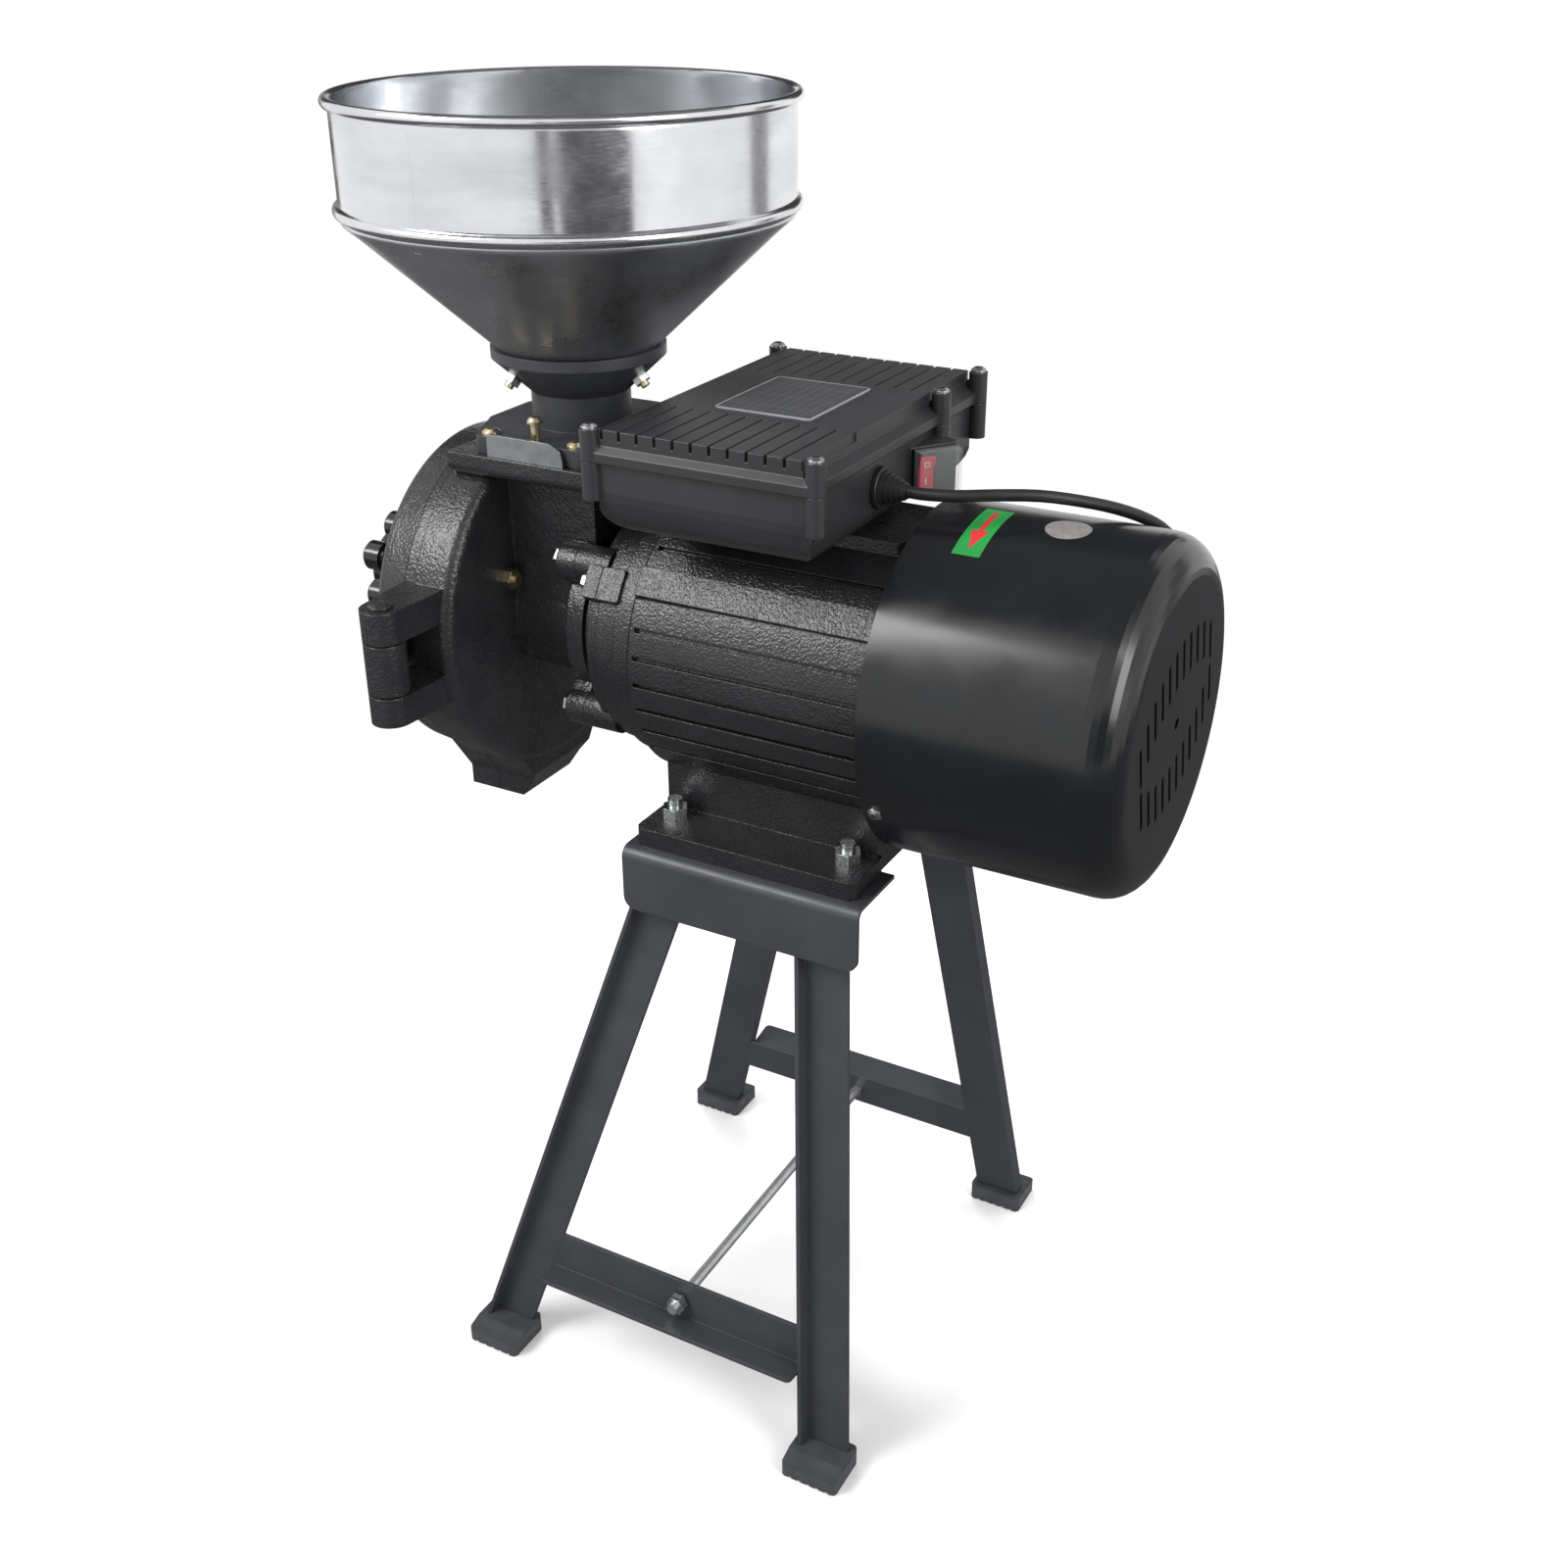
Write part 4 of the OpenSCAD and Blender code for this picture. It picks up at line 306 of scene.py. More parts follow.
def clear_plastic(name):
    """A thin clear skin: mostly see-through, with a faint haze and a soft gloss."""
    mat, t = new_material(name)
    coord = node(t, "ShaderNodeTexCoord", out="Object")
    haze = node(t, NOISE, {"Vector": coord, "Scale": PER_M / 6.0, "Detail": 3.0, **BROKEN})
    level = node(t, RANGE, {"Value": haze, **SPAN, "To Min": 0.06, "To Max": 0.16})
    normal = node(t, BUMP, {"Height": haze, "Distance": 0.15 * MM})
    shader = node(t, GLOSS, {"Base Color": lin("#c9cccd"), "Roughness": level, "Alpha": 0.13,
                             "Normal": normal})
    node(t, OUTPUT, {"Surface": shader})
    return mat


GRAIN = ((1.6, 0.55, 1.0), (6.0, 0.2, 2.0))  # sand grains, and the casting's slight waves
MATERIALS = {
    # stand: black powder coat on folded sheet steel; an even satin grey-black with soft bright folds
    "stand_enamel": surface("satin_black_powder_coat", "#3a3c41", "#323439", (0.34, 0.46),
                            ((0.55, 0.02, 2.0),), edge_mm=0.9, patch_mm=60.0),
    # motor: black enamel on a sand casting; semi-gloss, with the sand's grain glinting through
    "motor_enamel": surface("black_enamel_sand_casting", "#1a1b1d", "#212224", (0.24, 0.34), GRAIN,
                            edge_mm=1.2, patch_mm=30.0),
    # mill head: black enamel on a rougher casting; lumpy, with broad soft glints
    "mill_enamel": surface("black_enamel_rough_casting", "#1f2022", "#27282a", (0.22, 0.34),
                           ((2.0, 0.5, 1.0), (9.0, 0.5, 2.0)), edge_mm=1.8, patch_mm=30.0),
    # inlet plate and throat: black enamel on a finer casting; duller than the mill head, and painted a
    # lighter grey to make up for the hopper's shadow on it
    "plate_enamel": surface("satin_black_enamel_casting_painted_light", "#34363a", "#2b2d30", (0.4, 0.52),
                            ((1.4, 0.16, 2.0),), edge_mm=1.0, patch_mm=20.0),
    # fan cover: black enamel on drawn sheet; deep black with long smooth reflections
    "cover_enamel": surface("gloss_black_enamel_sheet", "#121314", "#16181a", (0.16, 0.26),
                            ((1.3, 0.008, 2.0), (28.0, 0.05, 1.0)), edge_mm=0.5, patch_mm=70.0),
    # control box: moulded ABS; satin charcoal, evenly soft
    "box_plastic": surface("satin_black_abs", "#242527", "#2a2b2d", (0.34, 0.39), ((0.4, 0.015, 2.0),),
                           edge_mm=1.1, patch_mm=45.0),
    # feet: moulded rubber; dull dark grey with a dusty bloom
    "foot_rubber": surface("black_moulded_rubber", "#3e4044", "#323437", (0.6, 0.78), ((0.7, 0.05, 4.0),),
                           edge_mm=0.8, spec=0.35, patch_mm=15.0),
    # shaft seal: nitrile rubber; matte black
    "seal_rubber": surface("nitrile_rubber", "#232323", "#1b1b1b", (0.5, 0.65), ((0.6, 0.03, 3.0),),
                           spec=0.35),
    # lead, strain relief, plug and tie: soft PVC; black with a faint soft shine
    "cord_rubber": surface("black_pvc_sheath", "#17181a", "#1e1f21", (0.38, 0.52), ((0.5, 0.015, 2.0),),
                           patch_mm=20.0, spec=0.4),
    # nuts, bolts and washers: bright zinc plate; silvery with small sharp glints
    "zinc_steel": surface("bright_zinc_plate", "#c3c5c6", "#b3b6b8", (0.2, 0.3), ((1.6, 0.015, 2.0),),
                          metal=1.0, edge_mm=0.35, patch_mm=12.0),
    # disc and hopper bolts, plate and gate screws: yellow zinc plate; pale brassy gold
    "yellow_zinc": surface("yellow_zinc_plate", "#d9c9a6", "#bfae8c", (0.24, 0.4), ((0.8, 0.02, 3.0),),
                           metal=1.0, edge_mm=0.35, patch_mm=4.0),
    # foundation studs: upright zinc thread; silvery, with painted shade in the grooves
    "threaded_z": surface("zinc_thread_upright", "#b9bbbb", "#8f9293", (0.28, 0.42), (), metal=1.0,
                          patch_mm=4.0, pattern=threaded("Z", 1.5)),
    # adjusting screw: steel thread along the shaft; grey, with bands of painted shade in the grooves
    "threaded_x": surface("steel_thread_along_shaft", "#a9abac", "#83868a", (0.28, 0.42), (), metal=1.0,
                          patch_mm=4.0, pattern=threaded("X", 2.0)),
    # shaft and bearings: turned steel; bright, brushed along its length
    "bright_steel": surface("turned_bright_steel", "#b4b6b8", "#96999c", (0.2, 0.36),
                            ((0.5, 0.012, 3.0),), metal=1.0, edge_mm=0.3, stretch=(6, 1, 1),
                            patch_mm=9.0),
    # stator and rotor cores: stacked sheets; grey with fine edges in rows
    "core_steel": surface("stacked_core_sheets", "#8b8e91", "#74777a", (0.4, 0.55), (), metal=1.0,
                          pattern=laminated),
    # windings: varnished copper wire; red-brown strands side by side, with painted shade between them
    "winding_copper": surface("varnished_copper_wire", "#b0642f", "#8f4a20", (0.25, 0.4), (), metal=0.9,
                              pattern=wound_wire),
    # grinding discs and auger: bare cast iron; grainy mid-grey metal
    "grinding_iron": surface("bare_cast_iron", "#6e7174", "#55585b", (0.4, 0.6), ((1.4, 0.12, 5.0),),
                             metal=1.0, edge_mm=0.5, patch_mm=10.0),
    # cooling fan: moulded nylon; flat dark grey
    "fan_plastic": surface("grey_moulded_nylon", "#3a3c3f", "#333538", (0.4, 0.5), ((0.5, 0.02, 2.0),)),
    # hopper: spun and polished stainless sheet; near-mirror band with fine rings, duller cone
    "hopper_steel": surface("polished_stainless_sheet", "#eeeff1", "#e2e3e5", (0.1, 0.2),
                            ((38.0, 0.1, 1.0),), metal=1.0, patch_mm=55.0, pattern=polished_band),
    # tie rod: drawn zinc rod; pale and brushed, without sharp glints
    "rod_steel": surface("drawn_zinc_rod", "#dcdedf", "#c6c8ca", (0.42, 0.55), ((0.5, 0.012, 3.0),),
                         metal=1.0, stretch=(6, 1, 1), patch_mm=9.0),
    # gate slide: bare sheet steel; pale grey, lightly brushed
    "gate_steel": surface("bare_sheet_steel", "#a9acae", "#8d9092", (0.3, 0.45), ((0.7, 0.02, 3.0),),
                          metal=1.0, edge_mm=0.3, stretch=(1, 8, 1), patch_mm=12.0),
    # rating plate, left blank: aluminium; grey field with empty rules and a bright rim
    "plate_aluminium": surface("blank_aluminium_plate", "#b9bbbd", "#a6a8aa", (0.3, 0.42),
                               ((0.4, 0.01, 2.0),), metal=0.4, stretch=(1, 12, 1), pattern=ruled_plate),
    # switch frame: moulded nylon; matte black
    "switch_black": surface("black_moulded_nylon", "#161718", "#1c1d1e", (0.35, 0.48),
                            ((0.4, 0.02, 2.0),), edge_mm=0.5),
    # rocker: translucent red plastic; strong red with a wet shine
    "rocker_red": surface("red_translucent_plastic", "#d8142e", "#b80f26", (0.14, 0.22),
                          ((6.0, 0.02, 2.0),), edge_mm=0.5, coat=0.5),
    # rocker marks: white paint; flat and light
    "mark_white": surface("white_marking_paint", "#e9e9e6", "#dcdcd8", (0.4, 0.5)),
    # switch cover: clear soft plastic; nearly unseen, with pale rims
    "clear_plastic": clear_plastic("clear_soft_plastic"),
    # start capacitor: phenolic can; black and slightly glossy
    "capacitor_black": surface("black_phenolic_can", "#222325", "#2b2c2e", (0.25, 0.35),
                               ((1.0, 0.02, 2.0),)),
    # run capacitor: polypropylene can; plain off-white
    "capacitor_white": surface("white_polypropylene_can", "#dedfd9", "#d0d1ca", (0.3, 0.4),
                               ((1.0, 0.02, 2.0),)),
    # terminal block: resin; cream and matte
    "terminal_cream": surface("cream_terminal_resin", "#e2dccb", "#d6cfbc", (0.4, 0.5),
                              ((0.8, 0.03, 2.0),), edge_mm=0.4),
    # star knob and clamp screw: phenolic; glossy black
    "knob_black": surface("gloss_black_phenolic", "#0f1011", "#161718", (0.12, 0.24), ((4.0, 0.03, 2.0),),
                          edge_mm=1.4, coat=0.3),
    # screw recesses: shade in a cut; flat dark brown
    "recess": surface("shadowed_recess", "#1c1a17", "#0f0e0d", (0.6, 0.8)),
    # arrow label: vinyl; flat signal green
    "label_green": surface("green_vinyl_label", "#1f8a3d", "#1b7c37", (0.3, 0.4), ((3.0, 0.02, 2.0),)),
    # arrow: vinyl; flat red
    "label_red": surface("red_vinyl_arrow", "#c5282b", "#b32427", (0.3, 0.4), ((3.0, 0.02, 2.0),)),
    # round label: blank foil; silvery and mottled
    "label_silver": surface("blank_silver_label", "#b3b0ae", "#93908f", (0.3, 0.5), ((1.5, 0.03, 3.0),),
                            metal=0.6, patch_mm=4.0),
}


def finish_with(obj, key):
    """Gives every slot of a CAD solid its material, without touching the solid's mesh."""
    if not obj.material_slots:
        obj.data.materials.append(MATERIALS[key])
    for s in obj.material_slots:
        s.link = "OBJECT"
        s.material = MATERIALS[key]


SPECIAL = {"fan_cover": "cover_enamel", "gate_slide": "gate_steel", "thrust_screw": "threaded_x",
           "tie_rod": "rod_steel", "inlet_plate": "plate_enamel"}
for part in frame["record"]["subparts"]:
    name = part["node"]
    finish_with(NODES[name], SPECIAL.get(name, part["material_slot"]))


def piece(name, geometry, key, body, sharp=35, replaces=()):
    """A scene piece with its material key, body and slot, and the CAD nodes that it stands for."""
    obj = add_mesh(name, *geometry)
    sharpen(obj, sharp)
    obj.data.materials.append(MATERIALS[key])
    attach(obj, body)
    if replaces:
        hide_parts(*replaces)
    return obj


def joined(parts):
    """Several (verts, faces) as one."""
    verts, faces = [], []
    for v, f in parts:
        faces += [tuple(i + len(verts) for i in face) for face in f]
        verts += list(v)
    return verts, faces


# Hopper: spun sheet with a rolled rim, a bead, a lap seam and a hemmed outlet
HOPPER_R, OUTLET_R, OUTLET_Z, CONE_TOP_Z, RIM_Z, SHEET = 146.0, 30.0, 163.5, 270.0, 340.5, 1.2
CONE_STEPS, BAND_MID_Z = 12, 300.0


def hopper_profile():
    """(radius, height) points up the outside, round the rolled rim and down the inside."""
    r, w, z0, z1, bead, rim, n = HOPPER_R, OUTLET_R, OUTLET_Z, CONE_TOP_Z, BEAD_Z, RIM_Z, CONE_STEPS
    outer = [(w, z0), (w + 1.2, z0 + 1.2)]
    outer += [(w + (r - w) * k / n, z0 + (z1 - z0) * k / n) for k in range(1, n)]
    outer += arc(r - 5.0, z1 + 1.6, 5.0, -42, 0, 6)
    outer += arc(r + 0.2, bead, 3.6, -80, 80, 12)
    outer += [(r, bead + 4.2), (r, bead + 4.8), (r, BAND_MID_Z), (r, rim - 5.6), (r, rim - 5.0)]
    outer += arc(r + 1.0, rim, 3.5, -115, 150, 20)
    r -= SHEET
    inner = [(r, rim - 3.0), (r, BAND_MID_Z), (r, bead + 5.0)]
    inner += arc(r + 0.6, bead, 3.0, 70, -70, 8)
    inner += arc(r - 5.0, z1 + 2.4, 5.0, 0, -40, 6)
    inner += [(w - 1.4 + (r - w - 1.8) * k / n, z0 + 1.6 + (z1 - z0 - 1.5) * k / n)
              for k in range(n - 1, 0, -1)]
    inner += [(w - 1.7, z0 + 1.0), (w - 1.8, z0)]
    return outer + inner


def hopper_seam(angle, width, profile, lift):
    """A lap of sheet over the profile's heights; angle and width in degrees, lift in mm at its middle."""
    verts, faces, n = [], [], len(profile)
    for k in range(5):
        a = math.radians(angle + (k / 4 - 0.5) * width)
        edge = 0.02 if k in (0, 4) else lift
        verts += [at((r + edge) * math.cos(a), (r + edge) * math.sin(a), z) for r, z in profile]
        verts += [at((r - 0.3) * math.cos(a), (r - 0.3) * math.sin(a), z) for r, z in profile]
    for k in range(4):
        a, b = k * 2 * n, (k + 1) * 2 * n
        for i in range(n - 1):
            faces.append((a + i, b + i, b + i + 1, a + i + 1))
            faces.append((a + n + i, a + n + i + 1, b + n + i + 1, b + n + i))
        faces += [(a, a + n, b + n, b), (a + n - 1, b + n - 1, b + 2 * n - 1, a + 2 * n - 1)]
    for a in (0, 8 * n):
        faces += [(a + i, a + i + 1, a + n + i + 1, a + n + i) for i in range(n - 1)]
    return verts, faces


band_line = [(HOPPER_R, z) for z in (283, 300, 318, 334)]
cone_line = [(60 + 16 * k, OUTLET_Z + (30 + 16 * k) / 1.0892) for k in range(6)]
hopper_parts = [revolve(hopper_profile(), 192, at), hopper_seam(-93, 0.9, band_line, 0.22),
                hopper_seam(-95, 4.4, cone_line, 0.45)]
piece("hopper_shell", joined(hopper_parts), "hopper_steel", "machine", replaces=("hopper",))

# Cord: one lead from the gland over the fan cover to the hank on the rear feet, and its plug
ROUTE = [(256, -26, 128), (266, -26, 128), (286, -23, 129), (308, -13, 130), (330, 1, 129), (350, 18, 124),
         (367, 38, 116), (380, 58, 105.5), (388, 78, 92), (392, 96, 73), (391, 109, 51), (386, 117.5, 28),
         (377, 121.5, 2), (364, 123.5, -24), (347, 123, -49), (327, 120, -71), (306, 116, -87),
         (286, 112, -98), (266, 109, -103.7), (250, 108, -104.7), (236, 108, -104.7)]
CORD_R, TURN_R, PITCH, DIP, LOOPS, STEPS = 3.8, 22.8, 8.1, 6.0, 3, 9
HANK_Y, HANK_Z, HANK_XA, HANK_XB = 85.2, -104.7, 145.1, 204.4
PLUG_Y, PLUG_Z, PLUG_X1, PLUG_R, PLUG_L, PLUG_SIDES = 108.0, -67.4, 196.8, 17.0, 48, 40
EXIT, BOX_END_X = ROUTE[0], 236


def ease(f):
    """From 0 to 1 and back with f, without a kink."""
    return (1 - math.cos(math.pi * f)) / 2


def hank_at(i):
    """The hank's i-th point: each loop is a straight, a turn, a straight and a turn, a lead's width up."""
    part, f, turn = i // STEPS % 4, i % STEPS / STEPS, i // STEPS // 4
    z, dip = HANK_Z + turn * PITCH, DIP * ease(2 * f)
    rise = PLUG_Z - HANK_Z - LOOPS * PITCH if turn == LOOPS - 1 else 0
    s, c = TURN_R * math.sin(math.pi * f), TURN_R * math.cos(math.pi * f)
    if part == 0:
        return (HANK_XB + (HANK_XA - HANK_XB) * f, HANK_Y + TURN_R - dip, z)
    if part == 1:
        return (HANK_XA - s, HANK_Y + c, z)
    if part == 2:
        return (HANK_XA + (HANK_XB - HANK_XA) * f, HANK_Y - TURN_R + dip, z + PITCH * ease(f))
    return (HANK_XB + s, HANK_Y - c, z + PITCH + rise * ease(f))


hank = [hank_at(i) for i in range(4 * STEPS * LOOPS)]
hank += [(HANK_XB, PLUG_Y, PLUG_Z), (PLUG_X1, PLUG_Y, PLUG_Z)]
cord_path = smooth_path([at(*p) for p in ROUTE + hank], 3)
cord = piece("mains_lead", tube(cord_path, CORD_R * MM, 14), "cord_rubber", "machine",
             sharp=60, replaces=("power_cord", "cord_hank"))


def gland_geometry():
    """A moulded strain relief: a collar, then rings that taper along the cord."""
    steps = [(0.0, 13.2), (0.4, 13.4), (3.4, 13.4), (4.0, 12.8)]
    for k in range(5):
        x, r = 4.2 + 3.1 * k, 11.0 - 1.25 * k
        steps += [(x, r - 0.9), (x + 0.2, r), (x + 1.5, r - 0.2), (x + 1.7, r - 1.4), (x + 2.9, r - 1.6)]
    steps += [(19.9, 4.6), (20.0, 4.1)]
    return revolve([(r, x) for x, r in [(0.0, 3.95)] + steps], 48,
                   lambda a, b, h: at(BOX_END_X + h, EXIT[1] + a, EXIT[2] + b))


piece("strain_relief", gland_geometry(), "cord_rubber", "machine",
      replaces=("cable_gland",))


# the plug's outline: (x from its face, half width, half height)
PLUG_RINGS = ((0.0, 15.4, 15.4), (1.2, 16.8, 16.8), (9.0, 17.0, 16.9), (14.0, 15.6, 14.6),
              (22.0, 13.2, 11.6), (30.0, 12.6, 10.8), (36.0, 12.8, 11.0), (40.0, 10.4, 9.4),
              (41.0, 7.6, 7.6), (43.0, 7.2, 7.2), (44.0, 6.2, 6.2), (47.2, 5.0, 5.0), (47.9, 4.0, 4.0))


def plug_geometry():
    """The body of a moulded two-pin plug: a waisted grip, a collar at its back and a flat face."""
    rings = []
    for x, ry, rz in PLUG_RINGS:
        rings.append([at(PLUG_X1 - PLUG_L + x, PLUG_Y + ry * math.cos(a), PLUG_Z + rz * math.sin(a))
                      for a in [2 * math.pi * k / PLUG_SIDES for k in range(PLUG_SIDES)]])
    n, last = PLUG_SIDES, len(rings) - 1
    faces = [(i * n + k, (i + 1) * n + k, (i + 1) * n + (k + 1) % n, i * n + (k + 1) % n)
             for i in range(last) for k in range(n)]
    faces += [tuple(range(n)), tuple(last * n + k for k in reversed(range(n)))]
    return [v for ring in rings for v in ring], faces


def pin_geometry(y):
    """A round pin with a tapered tip."""
    x0 = PLUG_X1 - PLUG_L
    return tube([at(x0 + 0.5, y, PLUG_Z), at(x0 - 17, y, PLUG_Z), at(x0 - 18.4, y, PLUG_Z),
                 at(x0 - 19, y, PLUG_Z)], [2.4 * MM, 2.4 * MM, 2.0 * MM, 1.2 * MM], 20)


plug = piece("mains_plug", plug_geometry(), "cord_rubber", "machine", sharp=50,
             replaces=("power_plug",))
pins = piece("plug_pins", joined([pin_geometry(PLUG_Y - 9.5), pin_geometry(PLUG_Y + 9.5)]), "zinc_steel",
             "machine")


TIE_STEPS = 96
STRAP = ((168.4, 0.3), (168.0, 1.2), (168.4, 2.1), (181.6, 2.1), (182.0, 1.2), (181.6, 0.3))  # (x, out)


def tie_geometry():
    """A flat strap round the hank's waist and the plug, following their outline."""
    rounds = [(67.5, HANK_Z, CORD_R), (102.9, HANK_Z, CORD_R), (PLUG_Y, PLUG_Z, PLUG_R),
              (67.5, -82.4, CORD_R)]
    ring = []
    for k in range(TIE_STEPS):
        a = 2 * math.pi * k / TIE_STEPS
        c, s = math.cos(a), math.sin(a)
        y, z, r = max(rounds, key=lambda q: q[0] * c + q[1] * s + q[2])
        ring.append((y, z, r, c, s))
    verts, faces = [], []
    for y, z, r, c, s in ring:
        for x, g in STRAP:
            verts.append(at(x, y + (r + g) * c, z + (r + g) * s))
    for k in range(TIE_STEPS):
        m = (k + 1) % TIE_STEPS
        faces += [(6 * k + i, 6 * m + i, 6 * m + (i + 1) % 6, 6 * k + (i + 1) % 6) for i in range(6)]
    return verts, faces


tie = piece("lead_tie", tie_geometry(), "cord_rubber", "machine", replaces=("cord_tie",))


# Labels: a plain turning arrow and a blank round one, laid on the fan cover as thin closed skins
COVER_R, LABEL_T = 115.0, 0.04


def cover_skin(rows, lift, cuts=6):
    """rows are (degrees, low x, high x) across the cover; the skin lies lift mm over its face."""
    def level(h):
        r = COVER_R + h
        return [at(x0 + (x1 - x0) * k / cuts, r * math.cos(math.radians(a)), r * math.sin(math.radians(a)))
                for a, x0, x1 in rows for k in range(cuts + 1)]
    n, w = len(rows) * (cuts + 1), cuts + 1
    verts, faces = level(lift) + level(lift - LABEL_T), []
    for i in range(len(rows) - 1):
        for k in range(cuts):
            q = i * w + k
            faces += [(q, q + 1, q + w + 1, q + w), (n + q, n + q + w, n + q + w + 1, n + q + 1)]
        for q, m in ((i * w, i * w + w), (i * w + cuts + w, i * w + cuts)):
            faces.append((q, m, n + m, n + q))
    for k in range(cuts):
        last = n - w + k
        faces += [(k + 1, k, n + k, n + k + 1), (last, last + 1, n + last + 1, n + last)]
    return verts, faces


def strip(a0, a1, half0, half1, mid, steps):
    """Rows from angle a0 to a1 about x = mid, half0 wide each way at the start and half1 at the end."""
    return [(a0 + (a1 - a0) * k / steps, mid - half0 - (half1 - half0) * k / steps,
             mid + half0 + (half1 - half0) * k / steps) for k in range(steps + 1)]


ARROW_X, ARROW_A = 305.0, 102.0
piece("arrow_label", cover_skin(strip(ARROW_A - 14, ARROW_A + 14, 9, 9, ARROW_X, 14), 0.08), "label_green",
      "machine")
piece("arrow_mark", joined([cover_skin(strip(ARROW_A - 11, ARROW_A + 2, 1.7, 1.7, ARROW_X, 8), 0.16),
                            cover_skin(strip(ARROW_A + 2, ARROW_A + 11, 5.5, 0.1, ARROW_X, 8), 0.16)]),
      "label_red", "machine")
ROUND_X, ROUND_A, ROUND_R = 353.0, 94.0, 14.0
# the first and last row keep a hair's width, so that the skin has no empty face
turns = [math.pi * (k + 0.02) / 24.04 for k in range(25)]
piece("round_label", cover_skin([(ROUND_A - ROUND_R * math.cos(t) / 2, ROUND_X - ROUND_R * math.sin(t),
                                  ROUND_X + ROUND_R * math.sin(t)) for t in turns], 0.08), "label_silver",
      "machine")


# Switch marks: a bar and a ring on the rocker, under the clear cover
SWITCH_X, SWITCH_Y, SWITCH_Z, PIVOT_BACK = 246, 32, 125, 4
ROCKER_TILT, SWITCH_TURN = math.radians(7), math.radians(-37)
ROCKER_MID, ROCKER_END, ROCKER_HALF_H = 6.0, 7.4, 10.8
MARK_LOW, MARK_HIGH = -0.1, 0.12


def on_rocker(x, y, z):
    """A point given on the rocker: x out of its face, y across, z up."""
    tilt, turn = ROCKER_TILT, SWITCH_TURN
    x, z = x * math.cos(tilt) + z * math.sin(tilt), -x * math.sin(tilt) + z * math.cos(tilt)
    x -= PIVOT_BACK
    return at(SWITCH_X + x * math.cos(turn) - y * math.sin(turn),
              SWITCH_Y + x * math.sin(turn) + y * math.cos(turn), SWITCH_Z + z)


def rocker_face(z):
    return ROCKER_MID + (ROCKER_END - ROCKER_MID) * abs(z) / ROCKER_HALF_H


def rocker_marks():
    """A ring over the pivot and a bar under it, both standing a little over the rocker's face."""
    ring = revolve([(1.5, MARK_LOW), (1.5, MARK_HIGH), (2.2, MARK_HIGH), (2.2, MARK_LOW)], 32,
                   lambda a, b, h: on_rocker(rocker_face(5.6 + b) + h, -6 + a, 5.6 + b))
    bar = [on_rocker(rocker_face(z) + h, y, z) for h in (MARK_LOW, MARK_HIGH) for y, z in
           ((-6.4, -7.8), (-5.6, -7.8), (-5.6, -3.6), (-6.4, -3.6))]
    sides = [(0, 1, 2, 3), (4, 7, 6, 5)] + [(k, k + 4, (k + 1) % 4 + 4, (k + 1) % 4) for k in range(4)]
    return joined([ring, (bar, sides)])


piece("rocker_marks", rocker_marks(), "mark_white", "rocker")


# Repeated small things through Geometry Nodes: cross recesses on the screw heads, threads on the studs
def scatter(name, source, places, key, body):
    """Copies of a small mesh at (point, direction) pairs, made with an instancing node tree."""
    seeds = bpy.data.meshes.new(name + "_points")
    seeds.from_pydata([tuple(p) for p, d in places], [], [])
    facing = seeds.attributes.new("facing", "FLOAT_VECTOR", "POINT")
    for i, (p, d) in enumerate(places):
        facing.data[i].vector = d
    holder = bpy.data.objects.new(name + "_holder", seeds)
    bpy.context.scene.collection.objects.link(holder)
    tree = bpy.data.node_groups.new(name + "_tree", "GeometryNodeTree")
    tree.interface.new_socket("Geometry", in_out="INPUT", socket_type="NodeSocketGeometry")
    size = tree.interface.new_socket("Size", in_out="INPUT", socket_type="NodeSocketFloat")
    size.default_value = 0.5
    tree.interface.new_socket("Geometry", in_out="OUTPUT", socket_type="NodeSocketGeometry")
    given = node(tree, "NodeGroupInput").node.outputs
    one = node(tree, "GeometryNodeObjectInfo", {"Object": source}, "Geometry")
    way = node(tree, "GeometryNodeInputNamedAttribute", {"Name": "facing"}, "Attribute",
               data_type="FLOAT_VECTOR")
    turn = node(tree, "FunctionNodeAlignRotationToVector", {"Vector": way}, "Rotation", axis="Z")
    copies = node(tree, "GeometryNodeInstanceOnPoints", {"Points": given["Geometry"], "Instance": one,
                                                         "Rotation": turn, "Scale": given["Size"]})
    real = node(tree, "GeometryNodeRealizeInstances", {"Geometry": copies})
    painted = node(tree, "GeometryNodeSetMaterial", {"Geometry": real, "Material": MATERIALS[key]})
    node(tree, "NodeGroupOutput", {"Geometry": painted})
    mod = holder.modifiers.new("copies", "NODES")
    mod.node_group = tree
    mod[size.identifier] = 1.0
    depsgraph = bpy.context.evaluated_depsgraph_get()
    mesh = bpy.data.meshes.new_from_object(holder.evaluated_get(depsgraph))
    bpy.data.objects.remove(holder)
    bpy.data.objects.remove(source)
    obj = bpy.data.objects.new(name, mesh)
    bpy.context.scene.collection.objects.link(obj)
    for p in mesh.polygons:
        p.use_smooth = True
    sharpen(obj, 35)
    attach(obj, body)
    return obj


def cross_source():
    """A cross recess: a shallow sunk star whose dark floor is painted shade, in metres round its own
    origin.
    """
    w, l = 0.45, 2.3
    outline = [(w, w), (w, l), (-w, l), (-w, w), (-l, w), (-l, -w), (-w, -w), (-w, -l), (w, -l), (w, -w),
               (l, -w), (l, w)]
    verts = [(x * MM, y * MM, z * MM) for z in (0.04, -0.25) for x, y in outline]
    n = len(outline)
    faces = [tuple(range(n)), tuple(reversed(range(n, 2 * n)))]
    faces += [(k, n + k, n + (k + 1) % n, (k + 1) % n) for k in range(n)]
    return add_mesh("cross_source", verts, faces, smooth=False)


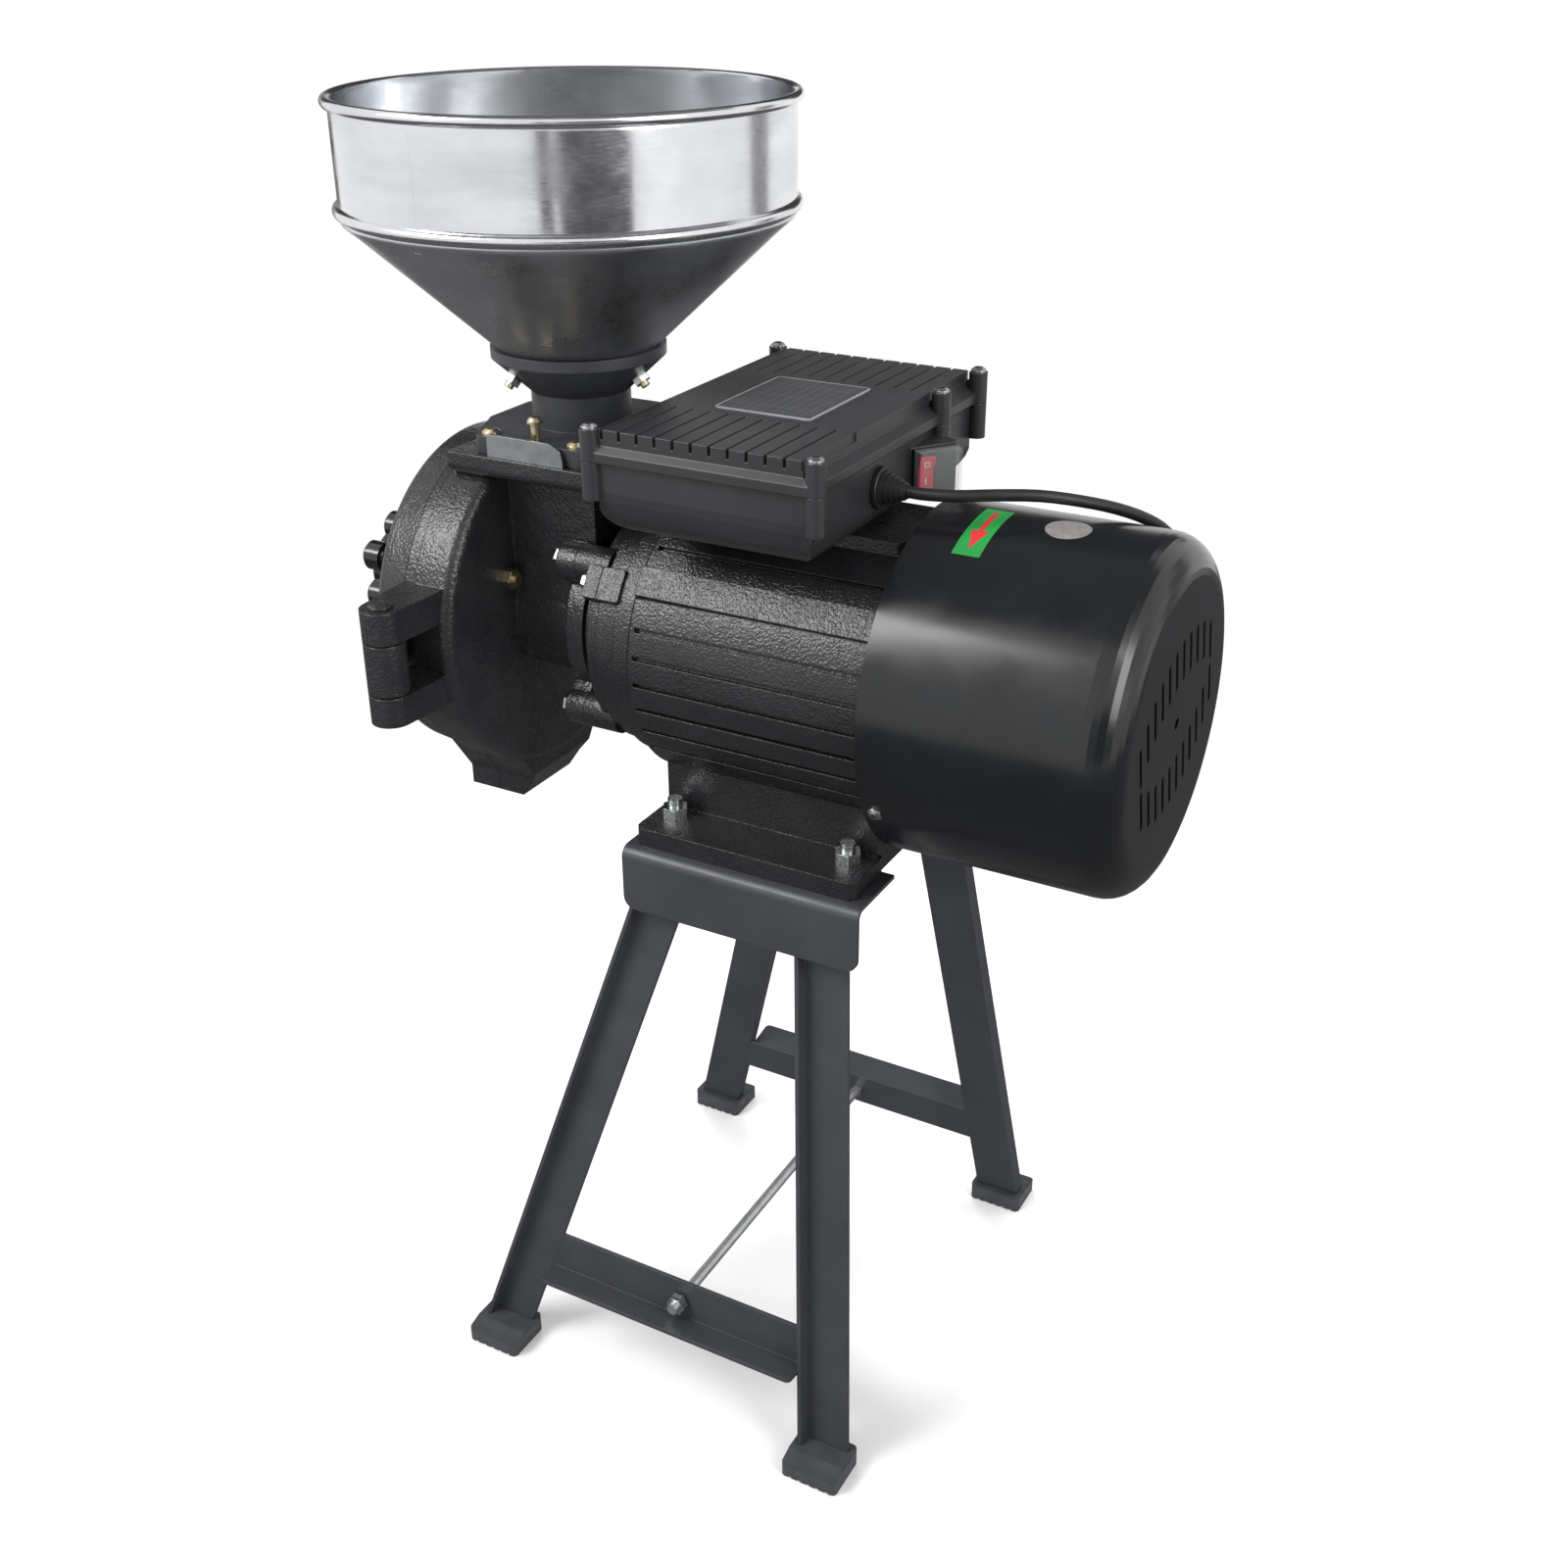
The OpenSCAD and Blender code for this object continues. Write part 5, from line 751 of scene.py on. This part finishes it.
# Where the cross recesses sit: on the lid, on the inlet plate and round the fan cover's edge
LID_SCREW_TOP, PLATE_SCREW_TOP, COVER_SCREW_X, COVER_SCREW_R = 171.0, 137, 275, 118
crosses = [(at(x, y, LID_SCREW_TOP), UP) for x, y in ((87, -117), (239, -114.66), (239, 57.33), (239, 117),
                                                       (87, 117))]
crosses += [(at(x, y, PLATE_SCREW_TOP), UP) for x in (-34, 34) for y in (-57, 57)]
for a in (80, 207, 333):
    c, s = math.cos(math.radians(a)), math.sin(math.radians(a))
    crosses.append((at(COVER_SCREW_X, COVER_SCREW_R * c, COVER_SCREW_R * s), (0.0, c, s)))
scatter("screw_recesses", cross_source(), crosses, "recess", "machine")
scatter("gate_screw_recess", cross_source(), [(at(2, -57, 149), UP)], "recess", "gate_lock")


def thread_source(radius, pitch, turns, per_turn=28):
    """A helical thread ridge, in metres round its own origin, rising along Z."""
    path = []
    for i in range(int(per_turn * turns) + 1):
        a = 2 * math.pi * i / per_turn
        path.append(Vector((radius * math.cos(a), radius * math.sin(a), pitch * i / per_turn)) * MM)
    return add_mesh("thread_source", *tube(path, 0.42 * MM, 6))


STUD_NUT_TOP = -102.6
studs = [(at(x, y, STUD_NUT_TOP), UP) for x in (108.75, 240.75) for y in (-70.5, 70.5)]
scatter("stud_threads", thread_source(4.85, 1.5, 3.2), studs, "threaded_z", "machine")


# Floor, lamps and world
FLOOR_HALF, FLOOR_DROP = 9.0, 0.0002
SHADE_END, WHITE_START = 0.45, 1.25  # metres from the middle: the floor's shadow fades to white between
AIM, WORLD_FILL = Vector((0.05, 0, 0.55)), 0.6
LAMPS = (("key_softbox", (-1.5, -1.7, 2.3), 1.3, 1.3, 66, True),  # place, two sizes, watts, seen in gloss
         ("side_softbox", (2.3, -0.7, 1.7), 0.9, 1.8, 36, True),
         ("top_softbox", (0.1, 0.5, 2.9), 1.8, 1.2, 38, False),
         ("back_softbox", (-1.4, 2.0, 1.9), 1.0, 1.6, 26, False))
CARD_AWAY = 3.0
CARDS = (("front_left", -68, 0.34, 0.0, 1.5, 0.13),  # degrees, width, low and high edge, brightness
         ("front_right", -44, 1.9, 0.0, 1.5, 0.1), ("right_side", 52, 0.8, 0.0, 1.6, 0.3),
         ("left_back", 146, 1.0, 0.0, 1.0, 0.1), ("back_high", 119, 4.4, 1.15, 5.0, 0.05))


def shown_rays(t):
    """1 for rays from the camera, gloss or clear pieces, and 0 for the light on the object."""
    rays = node(t, "ShaderNodeLightPath").node.outputs
    seen = node(t, MATH, {0: rays["Is Glossy Ray"], 1: rays["Is Transmission Ray"]}, operation="MAXIMUM")
    return node(t, MATH, {0: rays["Is Camera Ray"], 1: seen}, operation="MAXIMUM")


def studio():
    """The floor, the softboxes and an even world, white to the eye."""
    h = FLOOR_HALF
    floor = add_mesh("studio_floor", [(x, y, -FLOOR_DROP) for x, y in ((-h, -h), (h, -h), (h, h), (-h, h))],
                     [(0, 1, 2, 3)])
    # paper that takes the shadow near the object, and pure white far off
    mat, t = new_material("pale_studio_floor")
    away = node(t, "ShaderNodeVectorMath", {0: node(t, "ShaderNodeTexCoord", out="Object")}, "Value",
                operation="LENGTH")
    far = node(t, RANGE, {"Value": away, "From Min": SHADE_END, "From Max": WHITE_START},
               interpolation_type="SMOOTHSTEP")
    paper = node(t, GLOSS, {"Base Color": (0.88, 0.88, 0.88, 1), "Roughness": 0.9,
                            "Specular IOR Level": 0.1})
    white = node(t, "ShaderNodeEmission", {"Color": (1, 1, 1, 1), "Strength": 1.0})
    share = node(t, MATH, {0: far, 1: shown_rays(t)}, operation="MULTIPLY")
    node(t, OUTPUT, {"Surface": node(t, "ShaderNodeMixShader", {0: share, 1: paper, 2: white})})
    floor.data.materials.append(mat)
    for name, where, size_x, size_y, power, glossy in LAMPS:
        lamp = bpy.data.lights.new(name, "AREA")
        lamp.shape, lamp.size, lamp.size_y, lamp.energy = "RECTANGLE", size_x, size_y, power
        obj = bpy.data.objects.new(name, lamp)
        obj.location = where
        obj.visible_glossy = glossy
        obj.rotation_euler = (AIM - obj.location).to_track_quat("-Z", "Y").to_euler()
        bpy.context.scene.collection.objects.link(obj)
    world = bpy.data.worlds.new("studio_world")
    bpy.context.scene.world = world
    world.use_nodes = True
    t = world.node_tree
    t.nodes.clear()
    dim = node(t, "ShaderNodeBackground", {"Color": (1, 1, 1, 1), "Strength": WORLD_FILL})
    white = node(t, "ShaderNodeBackground", {"Color": (1, 1, 1, 1), "Strength": 1.0})
    both = node(t, "ShaderNodeMixShader", {0: shown_rays(t), 1: dim, 2: white})
    node(t, "ShaderNodeOutputWorld", {"Surface": both})


def dark_cards():
    """Dark cards round the set, seen only in reflections, so that gloss has a dark side."""
    for name, angle, width, low, high, shade in CARDS:
        a = math.radians(angle)
        mid = CARD_AWAY * Vector((math.cos(a), math.sin(a), 0))
        along = Vector((-math.sin(a), math.cos(a), 0)) * width / 2
        put_card(name, [mid + s * along + Vector((0, 0, z))
                        for s, z in ((-1, low), (1, low), (1, high), (-1, high))], shade)
    put_card("over", [(-2.4, -1.6, 3.7), (2.4, -1.6, 3.7), (2.4, 2.6, 3.7), (-2.4, 2.6, 3.7)], 0.19)
    put_card("under", [(2.3 * math.cos(math.pi * k / 24), 2.3 * math.sin(math.pi * k / 24), 0.012)
                       for k in range(48)], 0.12)


def put_card(name, corners, shade):
    """A flat dim card that only reflections see, and that casts no shadow."""
    mat, t = new_material("dark_card_" + name)
    glow = node(t, "ShaderNodeEmission", {"Color": (shade, shade, shade * 1.04, 1), "Strength": 1.0})
    node(t, OUTPUT, {"Surface": glow})
    card = add_mesh("dark_card_" + name, corners, [tuple(range(len(corners)))])
    card.data.materials.append(mat)
    card.visible_camera = card.visible_diffuse = card.visible_shadow = card.visible_transmission = False


studio()
dark_cards()
view = bpy.context.scene.view_settings
view.view_transform = "Standard"
